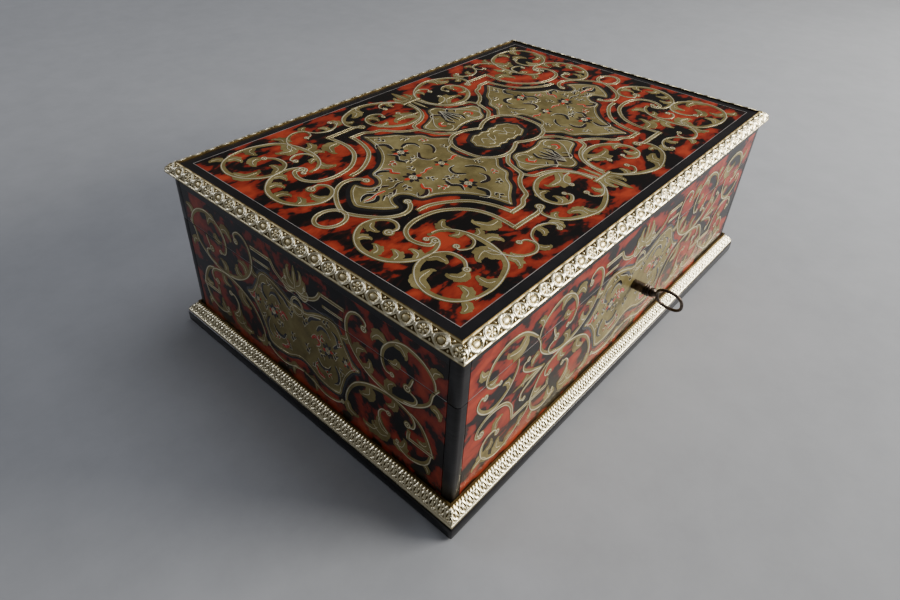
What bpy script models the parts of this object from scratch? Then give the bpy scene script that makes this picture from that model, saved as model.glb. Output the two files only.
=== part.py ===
"""Wind-up music box: a veneered casket with a hinged lid, a lock and key, and a lever-wound cylinder movement.

Metres, +Z up. The origin is the middle of the underside. X runs along the length and the lock is at -Y.
"""

import math

import bmesh
import bpy
from mathutils import Matrix, Vector

MM = 0.001
GAP = 0.3 * MM  # left between pieces that touch

# The casket, measured over the veneer.
LENGTH = 320 * MM
DEPTH = 212 * MM
HEIGHT = 115 * MM
BASE_THICKNESS = 7.4 * MM
BASE_OVERHANG = 7 * MM
SEAM_HEIGHT = 79.6 * MM  # where the lid parts from the case
SEAM_GAP = 0.4 * MM
VENEER = 1.5 * MM
WALL = 9 * MM
POST = 6 * MM  # side of the ebonised corner posts
POST_ROUNDING = 2.4 * MM

# The brass mouldings.
BASE_MOULDING_HEIGHT = 7.6 * MM
BASE_MOULDING_LIP = 1.6 * MM
LID_MOULDING_HEIGHT = 6 * MM
LID_MOULDING_OVERHANG = 3 * MM
LID_MOULDING_LAP = 3 * MM  # how far it laps over the lid's top
LID_MOULDING_CREST = 0.8 * MM  # how far it stands above the lid's top
MITRE_GAP = 0.15 * MM

# The lid.
LID_BOARD = 7.2 * MM
LID_BORDER = 5.2 * MM  # ebony border round the top panel

# The two butt hinges.
HINGE_SPACING = 190 * MM
HINGE_WIDTH = 34 * MM
HINGE_KNUCKLE = 11.6 * MM  # length of the lid's middle knuckle
HINGE_KNUCKLE_RADIUS = 2 * MM
HINGE_PIN_RADIUS = 0.8 * MM
HINGE_LEAF = 0.9 * MM
HINGE_LEAF_DEPTH = 8.5 * MM

# The lock, its bolt, strike and key.
KEYHOLE_DROP = 23.2 * MM  # below the seam
LOCK_WIDTH = 44 * MM
LOCK_HEIGHT = 33 * MM
LOCK_DEPTH = 6.3 * MM
LOCK_PLATE = 1.2 * MM
DRILL_PIN_RADIUS = 1 * MM
STAPLE_X = 9.5 * MM  # middle of the strike's staple
STAPLE_THICKNESS = 3 * MM
STAPLE_WIDTH = 4.4 * MM
STAPLE_WIRE = 1 * MM
STAPLE_DROP = 10.2 * MM
BOLT_THICKNESS = 2.8 * MM
BOLT_HEIGHT = 11 * MM
BOLT_LENGTH = 20 * MM
TONGUE_LENGTH = 6.2 * MM
TONGUE_HEIGHT = 4 * MM
TONGUE_DROP = 3.3 * MM  # of its middle, below the bolt's top
TONGUE_THICKNESS = 1.7 * MM
BOLT_THROW = 5.5 * MM
BOLT_STUD_RADIUS = 1 * MM  # the bolt slides on it
BOLT_STUD_X = -9.5 * MM
KEY_TIP_GAP = 0.4 * MM  # from the key's end to the lock's plate
KEY_REACH = 30.4 * MM  # how far the key stands out of the front
KEY_BARREL_RADIUS = 3 * MM
KEY_BORE_RADIUS = 1.5 * MM
KEY_BOW_LENGTH = 16.5 * MM
KEY_BOW_WIDTH = 18 * MM
KEY_BOW_WIRE = 0.8 * MM
KEY_BIT_REACH = 6.8 * MM  # from the key's axis
KEY_BIT_LENGTH = 3.8 * MM
KEY_BIT_THICKNESS = 1.6 * MM
KEY_TURN = 22  # degrees that the stored key has been turned from where it went in

# The movement. Its cylinder and barrel lie along X.
BEDPLATE = 4.4 * MM
BEDPLATE_FEET = 2 * MM
BEDPLATE_FRONT = -62 * MM
BEDPLATE_BACK = 62 * MM
BEDPLATE_RIGHT = 95.2 * MM
BEDPLATE_EDGE = 0.3 * MM  # outside the left bridge
WHEEL_CLEARANCE = 1.335 * MM  # under the great wheel
CYLINDER_Y = 12 * MM
CYLINDER_RADIUS = 18 * MM
CYLINDER_WALL = 1.6 * MM
CYLINDER_CLEARANCE = 6 * MM  # from its left end to the middle bridge
CYLINDER_END_DISC = 3 * MM
ARBOR_RADIUS = 2.5 * MM
DRIVE_MODULE = 0.9 * MM
BARREL_TEETH = 54
DRIVE_PINION_TEETH = 18
DRIVE_FACE = 4 * MM  # width of the teeth along X
DRIVE_CLEARANCE = 3.6 * MM  # from the great wheel to the middle bridge
BARREL_RADIUS = 20 * MM
BARREL_END_SHAKE = 1.3 * MM
BRIDGE = 3 * MM  # thickness of the bridge plates
BRIDGE_RISE = 11 * MM  # above the axes that a bridge carries
BRIDGE_FOOT = 8 * MM
BRIDGE_FOOT_THICKNESS = 2 * MM
LEFT_BRIDGE_X = -93 * MM
MIDDLE_BRIDGE_X = -48.5 * MM
RIGHT_BRIDGE_X = 82 * MM
RATCHET_CLEARANCE = 2.4 * MM  # from the ratchet to the left partition
RATCHET_TEETH = 24
RATCHET_RADIUS = 11 * MM
RATCHET_THICKNESS = 2.4 * MM
LEVER_CLEARANCE = 1.7 * MM  # from the lever to the ratchet
LEVER_HEADROOM = 4 * MM  # from the knob at its highest to the lid's board
LEVER_THICKNESS = 3 * MM
LEVER_HUB_RADIUS = 8 * MM
LEVER_KNOB_RADIUS = 6 * MM
LEVER_ANGLE = 35  # degrees above the level, pointing back
COMB_TEETH = 36
COMB_TOOTH_LENGTH = 24 * MM
COMB_DEPTH = 38 * MM
COMB_THICKNESS = 2 * MM
COMB_SLOT = 0.6 * MM
COMB_GAP = 0.9 * MM  # from the tooth tips to the bare cylinder
COMB_BASE_DEPTH = 20 * MM
GOVERNOR_MODULE = 0.75 * MM
GOVERNOR_DRIVE_TEETH = 48
GOVERNOR_PINION_TEETH = 12
GOVERNOR_FACE = 3 * MM
GOVERNOR_CLEARANCE = 3.5 * MM  # from the governor's drive to the right bridge
GOVERNOR_SPACE = 4 * MM  # from the governor's drive to the cylinder
GOVERNOR_ARBOR_RADIUS = 1.5 * MM
WORM_MODULE = 0.6 * MM
WORM_WHEEL_TEETH = 20
WORM_WHEEL_FACE = 2 * MM
WORM_X = 88 * MM
WORM_PITCH_RADIUS = 2.5 * MM
WORM_TURNS = 7
FLY_RADIUS = 8 * MM
FLY_HEIGHT = 10 * MM
FLY_THICKNESS = 0.6 * MM
FLY_SHAFT_RADIUS = 1 * MM
FLY_BOTTOM = 52 * MM
GOVERNOR_TOP = 64 * MM
GOVERNOR_ARM = 3 * MM
PLAY_LEVER_PIVOT = (93.6 * MM, 8 * MM)
PLAY_LEVER_POST = 2.6 * MM
PLAY_LEVER_PIN = 1.3 * MM
PLAY_LEVER_TIP = 1.6 * MM  # width of the end that stops the fly
PLAY_LEVER_HEIGHT = 56 * MM
PLAY_LEVER_THICKNESS = 1.6 * MM
PLAY_LEVER_WIDTH = 5 * MM
PLAY_LEVER_REACH = 40 * MM
PLAY_LEVER_ARM = 28.3 * MM

# The partitions on either side of the movement, and the glass that rests on them.
PARTITION = 6 * MM
PARTITION_LIP = 2 * MM
PARTITION_GAP_LEFT = 1.2 * MM  # from the bedplate
PARTITION_GAP_RIGHT = 2.8 * MM
GLASS = 2.4 * MM
GLASS_HEADROOM = 6.4 * MM  # above the great wheel

# Places that follow from the sizes above.
CASE_TOP = SEAM_HEIGHT - SEAM_GAP / 2
LID_BOTTOM = SEAM_HEIGHT + SEAM_GAP / 2
FLOOR = BASE_THICKNESS + GAP  # the lowest that anything inside the case stands
LID_TOP = HEIGHT - LID_MOULDING_CREST
WALL_X = LENGTH / 2 - VENEER - GAP  # outer faces of the walls
WALL_Y = DEPTH / 2 - VENEER - GAP
INNER_X = WALL_X - WALL
INNER_Y = WALL_Y - WALL
NOTCH = POST + GAP - VENEER - GAP  # cut from a board's corner for the post
LID_MOULDING_FOOT = HEIGHT - LID_MOULDING_HEIGHT
LID_MOULDING_SEAT = HEIGHT - LID_MOULDING_LAP
LID_BOARD_TOP = LID_MOULDING_SEAT - GAP
LID_BOARD_BOTTOM = LID_BOARD_TOP - LID_BOARD
KEYHOLE_Z = SEAM_HEIGHT - KEYHOLE_DROP
HINGE_Y = DEPTH / 2 + HINGE_KNUCKLE_RADIUS + GAP
KEY_LENGTH = DEPTH / 2 + KEY_REACH - INNER_Y - LOCK_PLATE - KEY_TIP_GAP
BEDPLATE_TOP = FLOOR + BEDPLATE_FEET + BEDPLATE
GREAT_WHEEL_TIP = DRIVE_MODULE * (BARREL_TEETH / 2 + 0.85)
AXIS_HEIGHT = BEDPLATE_TOP + WHEEL_CLEARANCE + GREAT_WHEEL_TIP
PARTITION_HEIGHT = AXIS_HEIGHT + GREAT_WHEEL_TIP + GLASS_HEADROOM
LEVER_LENGTH = LID_BOARD_BOTTOM - LEVER_HEADROOM - LEVER_KNOB_RADIUS - AXIS_HEIGHT
BARREL_Y = CYLINDER_Y - DRIVE_MODULE * (BARREL_TEETH + DRIVE_PINION_TEETH) / 2
GOVERNOR_Y = CYLINDER_Y + GOVERNOR_MODULE * (GOVERNOR_DRIVE_TEETH + GOVERNOR_PINION_TEETH) / 2
WORM_Y = GOVERNOR_Y + WORM_MODULE * WORM_WHEEL_TEETH / 2 + WORM_PITCH_RADIUS

# Places along X, from the bridges outwards.
BEDPLATE_LEFT = LEFT_BRIDGE_X - BRIDGE / 2 - BEDPLATE_EDGE
BARREL_LEFT = LEFT_BRIDGE_X + BRIDGE / 2 + BARREL_END_SHAKE
DRIVE_X = MIDDLE_BRIDGE_X - BRIDGE / 2 - DRIVE_CLEARANCE - DRIVE_FACE / 2
CYLINDER_LEFT = MIDDLE_BRIDGE_X + BRIDGE / 2 + CYLINDER_CLEARANCE
GOVERNOR_DRIVE_X = RIGHT_BRIDGE_X - BRIDGE / 2 - GOVERNOR_CLEARANCE - GOVERNOR_FACE / 2
CYLINDER_LENGTH = GOVERNOR_DRIVE_X - GOVERNOR_FACE / 2 - GOVERNOR_SPACE - CYLINDER_LEFT
LEFT_PARTITION_X = BEDPLATE_LEFT - PARTITION_GAP_LEFT - PARTITION / 2
RIGHT_PARTITION_X = BEDPLATE_RIGHT + PARTITION_GAP_RIGHT + PARTITION / 2
RATCHET_X = LEFT_PARTITION_X - PARTITION / 2 - RATCHET_CLEARANCE - RATCHET_THICKNESS / 2
LEVER_X = RATCHET_X - RATCHET_THICKNESS / 2 - LEVER_CLEARANCE - LEVER_THICKNESS / 2

ALONG_X = (math.pi / 2, 0, math.pi / 2)  # local Z to X, local X to Y, local Y to Z

COLOURS = {
    "ebony": ((0.012, 0.011, 0.011), 0.3, 0.0),
    "tortoiseshell": ((0.3, 0.02, 0.012), 0.2, 0.0),
    "oak": ((0.25, 0.13, 0.06), 0.6, 0.0),
    "gilt_brass": ((0.62, 0.47, 0.2), 0.3, 1.0),
    "brass": ((0.72, 0.53, 0.24), 0.25, 1.0),
    "steel": ((0.35, 0.35, 0.36), 0.3, 1.0),
    "iron": ((0.1, 0.1, 0.11), 0.45, 1.0),
    "glass": ((0.9, 0.95, 0.94), 0.05, 0.0),
}


def clear_scene():
    """Empties the scene and makes the collections for the pieces and for the shapes that cut them."""
    for obj in list(bpy.data.objects):
        bpy.data.objects.remove(obj)
    made = []
    for name in ("music_box", "cutters"):
        collection = bpy.data.collections.new(name)
        bpy.context.scene.collection.children.link(collection)
        made.append(collection)
    return made


PIECES, CUTTERS = clear_scene()


def material(name):
    """The Principled material of that name."""
    found = bpy.data.materials.get(name)
    if found:
        return found
    colour, roughness, metallic = COLOURS[name]
    made = bpy.data.materials.new(name)
    made.use_nodes = True
    shader = made.node_tree.nodes["Principled BSDF"]
    shader.inputs["Base Color"].default_value = (*colour, 1)
    shader.inputs["Roughness"].default_value = roughness
    shader.inputs["Metallic"].default_value = metallic
    return made


def add(name, data, finish=None, location=(0, 0, 0), rotation=(0, 0, 0)):
    """A new object. One with no finish is a cutter, or a shape that is joined into a piece."""
    obj = bpy.data.objects.new(name, data)
    obj.location = location
    obj.rotation_euler = rotation
    if finish:
        PIECES.objects.link(obj)
        data.materials.append(material(finish))
    else:
        CUTTERS.objects.link(obj)
        obj.hide_render = True
        obj.display_type = "WIRE"
    return obj


def box(name, low, high, finish=None):
    """A block between two corners."""
    low, high = Vector(low), Vector(high)
    mesh = bpy.data.meshes.new(name)
    shape = bmesh.new()
    bmesh.ops.create_cube(shape, size=1, matrix=Matrix.Diagonal((*(high - low), 1)))
    shape.to_mesh(mesh)
    shape.free()
    return add(name, mesh, finish, (low + high) / 2)


def rod(name, radius, start, end, finish=None, sides=24):
    """A cylinder between two points."""
    start, end = Vector(start), Vector(end)
    mesh = bpy.data.meshes.new(name)
    shape = bmesh.new()
    length = (end - start).length
    bmesh.ops.create_cone(
        shape, cap_ends=True, segments=sides, radius1=radius, radius2=radius, depth=length
    )
    shape.to_mesh(mesh)
    shape.free()
    turn = (end - start).to_track_quat("Z", "Y").to_euler()
    return smooth(add(name, mesh, finish, (start + end) / 2, turn))


def ball(name, radius, centre, finish=None):
    """A sphere."""
    mesh = bpy.data.meshes.new(name)
    shape = bmesh.new()
    bmesh.ops.create_uvsphere(shape, u_segments=20, v_segments=12, radius=radius)
    shape.to_mesh(mesh)
    shape.free()
    return smooth(add(name, mesh, finish, centre))


def smooth(obj):
    """Shades a round piece smooth, with its edges left sharp."""
    obj.data.shade_smooth()
    obj.data.set_sharp_from_angle(angle=math.radians(35))
    return obj


def as_mesh(curve, finish=None):
    """The curve object made a mesh with welded caps."""
    bpy.context.view_layer.update()
    graph = bpy.context.evaluated_depsgraph_get()
    mesh = bpy.data.meshes.new_from_object(curve.evaluated_get(graph))
    shape = bmesh.new()
    shape.from_mesh(mesh)
    bmesh.ops.remove_doubles(shape, verts=shape.verts, dist=1e-6)
    bmesh.ops.recalc_face_normals(shape, faces=shape.faces)
    shape.to_mesh(mesh)
    shape.free()
    mesh.materials.clear()
    name, place = curve.name, curve.matrix_world.copy()
    bpy.data.objects.remove(curve)
    obj = add(name, mesh, finish)
    obj.matrix_world = place
    return obj


def plate(name, outlines, low, high, finish=None, location=(0, 0, 0), rotation=(0, 0, 0)):
    """A flat outline, with any holes after it, extruded along its local Z from low to high."""
    curve = bpy.data.curves.new(name, "CURVE")
    curve.dimensions = "2D"
    curve.fill_mode = "BOTH"
    curve.extrude = (high - low) / 2
    for outline in outlines:
        spline = curve.splines.new("POLY")
        spline.points.add(len(outline) - 1)
        spline.use_cyclic_u = True
        for point, (x, y) in zip(spline.points, outline):
            point.co = (x, y, 0, 1)
    obj = add(name, curve, None, location, rotation)
    turn = obj.rotation_euler.to_matrix()
    obj.location = Vector(location) + turn @ Vector((0, 0, (low + high) / 2))
    return as_mesh(obj, finish)


def turned(name, profile, finish=None, location=(0, 0, 0), rotation=(0, 0, 0), steps=32, ring=False):
    """A profile of (radius, height) points, from the top down, turned about its local Z."""
    mesh = bpy.data.meshes.new(name)
    edges = [(i, i + 1) for i in range(len(profile) - 1)]
    if ring:
        edges.append((len(profile) - 1, 0))
    mesh.from_pydata([(radius, 0, height) for radius, height in profile], edges, [])
    obj = add(name, mesh, finish, location, rotation)
    screw = obj.modifiers.new("turn", "SCREW")
    screw.steps = screw.render_steps = steps
    screw.use_merge_vertices = True
    screw.merge_threshold = 1e-6
    screw.use_smooth_shade = False
    return obj


def boolean(obj, other, operation):
    """Cuts the other shape from the piece, or joins it on."""
    modifier = obj.modifiers.new(other.name, "BOOLEAN")
    modifier.operation = operation
    modifier.object = other
    modifier.solver = "EXACT"
    return obj


def cut(obj, *others):
    """Cuts each of the shapes from the piece."""
    for other in others:
        boolean(obj, other, "DIFFERENCE")
    return obj


def join(obj, *others):
    """Joins each of the shapes onto the piece."""
    for other in others:
        boolean(obj, other, "UNION")
    return obj


def arc(centre, radius, start, end, count):
    """Points along an arc, from one angle to the other in degrees."""
    angles = [math.radians(start + (end - start) * i / (count - 1)) for i in range(count)]
    return [(centre[0] + radius * math.cos(a), centre[1] + radius * math.sin(a)) for a in angles]


def gear_outline(teeth, module, turn=0.0, bore=None):
    """Trapezoidal teeth with plenty of backlash. A tooth is centred on the angle turn, in degrees."""
    pitch_radius = teeth * module / 2
    tip, root = pitch_radius + 0.85 * module, pitch_radius - 1.15 * module
    tip_half, root_half = 0.34 * module / tip, 0.98 * module / root
    points = []
    for i in range(teeth):
        middle = math.radians(turn) + 2 * math.pi * i / teeth
        for radius, angle in ((root, -root_half), (tip, -tip_half), (tip, tip_half), (root, root_half)):
            points.append((radius * math.cos(middle + angle), radius * math.sin(middle + angle)))
    outlines = [points]
    if bore:
        outlines.append(arc((0, 0), bore, 0, 345, 24))
    return outlines


# ---------------------------------------------------------------- the case


def side_frames():
    """(name, half length along the side, distance out to its face, turn about Z) of the four sides."""
    return (
        ("front", LENGTH / 2, DEPTH / 2, 0.0),
        ("back", LENGTH / 2, DEPTH / 2, math.pi),
        ("left", DEPTH / 2, LENGTH / 2, -math.pi / 2),
        ("right", DEPTH / 2, LENGTH / 2, math.pi / 2),
    )


def moulding(name, section, half_length, face, turn):
    """A mitred strip along one side. The section holds (distance out from the side's face, height) points."""
    strip = plate(name, [section], -half_length, half_length, "gilt_brass")
    for vertex in strip.data.vertices:
        out, height, along = vertex.co
        along += (out - MITRE_GAP) * (1 if along > 0 else -1)
        vertex.co = (along, -face - out, height)
    strip.data.flip_normals()
    strip.matrix_world = Matrix.Rotation(turn, 4, "Z")
    return strip


def base_moulding_section():
    """Flat back and foot, a fillet, and a swelling face that leans back to a thin lip."""
    foot = BASE_THICKNESS + GAP
    top = foot + BASE_MOULDING_HEIGHT
    width = BASE_OVERHANG - 2 * GAP
    face = [
        (width - 0.05 * MM, foot + 1.5 * MM),
        (width - 1.2 * MM, foot + 3.2 * MM),
        (width - 2.9 * MM, foot + 5 * MM),
    ]
    return [
        (GAP, foot),
        (width, foot),
        *face,
        (BASE_MOULDING_LIP, top - 0.9 * MM),
        (BASE_MOULDING_LIP, top),
        (GAP, top),
    ]


def lid_moulding_section():
    """A quarter round that laps over the lid's top and hangs down its side."""
    bulge = arc(
        (-LID_MOULDING_LAP + 0.8 * MM, LID_MOULDING_FOOT + 0.8 * MM), 5.2 * MM, 0, 90, 7
    )
    return [
        (-LID_MOULDING_LAP, LID_MOULDING_SEAT),
        (GAP, LID_MOULDING_SEAT),
        (GAP, LID_MOULDING_FOOT),
        (LID_MOULDING_OVERHANG - 0.5 * MM, LID_MOULDING_FOOT),
        *bulge,
        (-LID_MOULDING_LAP, HEIGHT),
    ]


def corner_posts(prefix, low, high):
    """The four ebonised posts, each rounded at its outer edge."""
    r = POST_ROUNDING
    for name, sx, sy in (
        ("front_left", -1, -1),
        ("front_right", 1, -1),
        ("back_left", -1, 1),
        ("back_right", 1, 1),
    ):
        outer_x, outer_y = LENGTH / 2, DEPTH / 2
        inner_x, inner_y = outer_x - POST, outer_y - POST
        outline = [(inner_x, inner_y), (outer_x, inner_y)]
        outline += arc((outer_x - r, outer_y - r), r, 0, 90, 6)
        outline += [(inner_x, outer_y)]
        outline = [(sx * x, sy * y) for x, y in outline]
        plate(f"{prefix}_post_{name}", [outline], low, high, "ebony")


def post_rebates():
    """Cutters for the square rebates that the posts stand in, at the four corners of the walls and the lid."""
    inner_x, inner_y = WALL_X - NOTCH, WALL_Y - NOTCH
    outer_x, outer_y = LENGTH / 2 + MM, DEPTH / 2 + MM
    return [
        box(
            f"post_rebate_{i}{j}",
            (min(sx * inner_x, sx * outer_x), min(sy * inner_y, sy * outer_y), FLOOR - MM),
            (max(sx * inner_x, sx * outer_x), max(sy * inner_y, sy * outer_y), HEIGHT),
        )
        for i, sx in enumerate((-1, 1))
        for j, sy in enumerate((-1, 1))
    ]


def side_veneers(prefix, low, high):
    """The marquetry sheets of the four sides, by side name."""
    half_x = LENGTH / 2 - POST - GAP
    half_y = DEPTH / 2 - POST - GAP
    x, y = LENGTH / 2, DEPTH / 2
    corners = {
        "front": ((-half_x, -y), (half_x, -y + VENEER)),
        "back": ((-half_x, y - VENEER), (half_x, y)),
        "left": ((-x, -half_y), (-x + VENEER, half_y)),
        "right": ((x - VENEER, -half_y), (x, half_y)),
    }
    return {
        side: box(f"{prefix}_marquetry_{side}", (*first, low), (*second, high), "tortoiseshell")
        for side, (first, second) in corners.items()
    }


def case_walls(rebates):
    """The four walls of the case: the front and back run past the ends, rebated for the posts."""
    walls = {}
    for side, sign in (("front", -1), ("back", 1)):
        low, high = sorted((sign * INNER_Y, sign * WALL_Y))
        wall = box(f"case_wall_{side}", (-WALL_X, low, FLOOR), (WALL_X, high, CASE_TOP), "oak")
        walls[side] = cut(wall, *rebates)
    for side, sign in (("left", -1), ("right", 1)):
        low, high = sorted((sign * INNER_X, sign * WALL_X))
        reach = INNER_Y - GAP
        walls[side] = box(
            f"case_wall_{side}", (low, -reach, FLOOR), (high, reach, CASE_TOP), "oak"
        )
    return walls


def build_case(rebates):
    """The base board, its moulding, the walls, posts and veneers."""
    half_x, half_y = LENGTH / 2 + BASE_OVERHANG, DEPTH / 2 + BASE_OVERHANG
    base = box("base_board", (-half_x, -half_y, 0), (half_x, half_y, BASE_THICKNESS), "ebony")
    bevel = base.modifiers.new("eased", "BEVEL")
    bevel.width = 0.8 * MM
    bevel.segments = 2
    for side, half_length, face, turn in side_frames():
        moulding(f"base_moulding_{side}", base_moulding_section(), half_length, face, turn)
    corner_posts("case", FLOOR, CASE_TOP)
    return case_walls(rebates), side_veneers("case", FLOOR, CASE_TOP)


# ----------------------------------------------------------------- the lid


def build_lid(rebates):
    """The lid's frame, board, top panel, mouldings, posts and veneers."""
    low, high = LID_BOTTOM, LID_BOARD_BOTTOM - GAP
    frame = box("lid_frame", (-WALL_X, -WALL_Y, low), (WALL_X, WALL_Y, high), "oak")
    hollow = box(
        "lid_hollow", (-INNER_X, -INNER_Y, low - MM), (INNER_X, INNER_Y, high + MM)
    )
    cut(frame, hollow, *rebates)

    post_top = LID_BOARD_TOP - 1.6 * MM
    board = box(
        "lid_board",
        (-WALL_X, -WALL_Y, LID_BOARD_BOTTOM),
        (WALL_X, WALL_Y, LID_BOARD_TOP),
        "ebony",
    )
    cut(board, *rebates)
    rim_x = LENGTH / 2 - LID_MOULDING_LAP - GAP
    rim_y = DEPTH / 2 - LID_MOULDING_LAP - GAP
    rim = box("lid_board_rim", (-rim_x, -rim_y, post_top + GAP), (rim_x, rim_y, LID_TOP))
    field_x, field_y = rim_x - LID_BORDER, rim_y - LID_BORDER
    recess_floor = LID_TOP - VENEER - GAP
    recess = box(
        "lid_board_recess",
        (-field_x, -field_y, recess_floor),
        (field_x, field_y, LID_TOP + VENEER),
    )
    join(board, rim)
    cut(board, recess)
    panel_x, panel_y = field_x - GAP, field_y - GAP
    box(
        "lid_marquetry_top",
        (-panel_x, -panel_y, recess_floor + GAP),
        (panel_x, panel_y, LID_TOP),
        "tortoiseshell",
    )
    for side, half_length, face, turn in side_frames():
        moulding(f"lid_moulding_{side}", lid_moulding_section(), half_length, face, turn)
    corner_posts("lid", LID_BOTTOM, post_top)
    return frame, side_veneers("lid", LID_BOTTOM, LID_BOARD_TOP)


# -------------------------------------------------------------- the hinges


def hinge_knuckle(name, start, end, finish=None):
    """One barrel of a hinge, bored for the pin, along X."""
    bore = HINGE_PIN_RADIUS + GAP
    profile = [
        (bore, end - start),
        (HINGE_KNUCKLE_RADIUS, end - start),
        (HINGE_KNUCKLE_RADIUS, 0),
        (bore, 0),
    ]
    return turned(
        name, profile, finish, (start, HINGE_Y, SEAM_HEIGHT), ALONG_X, steps=20, ring=True
    )


def build_hinges(case_parts, lid_parts):
    """Two butt hinges: a case leaf with two knuckles, a lid leaf with one, and a pin."""
    half, middle = HINGE_WIDTH / 2, HINGE_KNUCKLE / 2
    front = HINGE_Y - HINGE_KNUCKLE_RADIUS - GAP - HINGE_LEAF_DEPTH
    reach = HINGE_Y - HINGE_PIN_RADIUS - 2 * GAP  # the leaf ends inside the knuckle's wall
    for side, x in (("left", -HINGE_SPACING / 2), ("right", HINGE_SPACING / 2)):
        leaf_top = CASE_TOP - 0.1 * MM
        case_leaf = box(
            f"hinge_leaf_case_{side}",
            (x - half, front, leaf_top - HINGE_LEAF),
            (x + half, reach, leaf_top),
            "brass",
        )
        lid_leaf = box(
            f"hinge_leaf_lid_{side}",
            (x - half, front, LID_BOTTOM + 0.1 * MM),
            (x + half, reach, LID_BOTTOM + 0.1 * MM + HINGE_LEAF),
            "brass",
        )
        # Where one leaf carries the knuckle, the other stops short of it.
        relief_y = HINGE_Y - HINGE_KNUCKLE_RADIUS - GAP
        low, high = CASE_TOP - 2 * MM, LID_BOTTOM + 2 * MM
        cut(
            case_leaf,
            box(
                f"case_leaf_relief_{side}",
                (x - middle - GAP, relief_y, low),
                (x + middle + GAP, HINGE_Y + MM, high),
            ),
        )
        cut(
            lid_leaf,
            *(
                box(
                    f"lid_leaf_relief_{side}_{end}",
                    (x + min(a, b), relief_y, low),
                    (x + max(a, b), HINGE_Y + MM, high),
                )
                for end, a, b in (
                    ("inner", -half - MM, -middle + GAP),
                    ("outer", middle - GAP, half + MM),
                )
            ),
        )
        join(
            case_leaf,
            hinge_knuckle(f"case_knuckle_{side}_a", x - half, x - middle - GAP),
            hinge_knuckle(f"case_knuckle_{side}_b", x + middle + GAP, x + half),
        )
        join(lid_leaf, hinge_knuckle(f"lid_knuckle_{side}", x - middle + GAP, x + middle - GAP))
        rod(
            f"hinge_pin_{side}",
            HINGE_PIN_RADIUS,
            (x - half, HINGE_Y, SEAM_HEIGHT),
            (x + half, HINGE_Y, SEAM_HEIGHT),
            "steel",
            sides=12,
        )
        depth = HINGE_LEAF + 0.1 * MM + GAP
        mortise = ((x - half - GAP, front - GAP), (x + half + GAP, HINGE_Y))
        for part in case_parts:
            cut(
                part,
                box(
                    f"mortise_{part.name}_{side}",
                    (*mortise[0], CASE_TOP - depth),
                    (*mortise[1], CASE_TOP + MM),
                ),
            )
        for part in lid_parts:
            cut(
                part,
                box(
                    f"mortise_{part.name}_{side}",
                    (*mortise[0], LID_BOTTOM - MM),
                    (*mortise[1], LID_BOTTOM + depth),
                ),
            )


# ---------------------------------------------------------------- the lock


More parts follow.
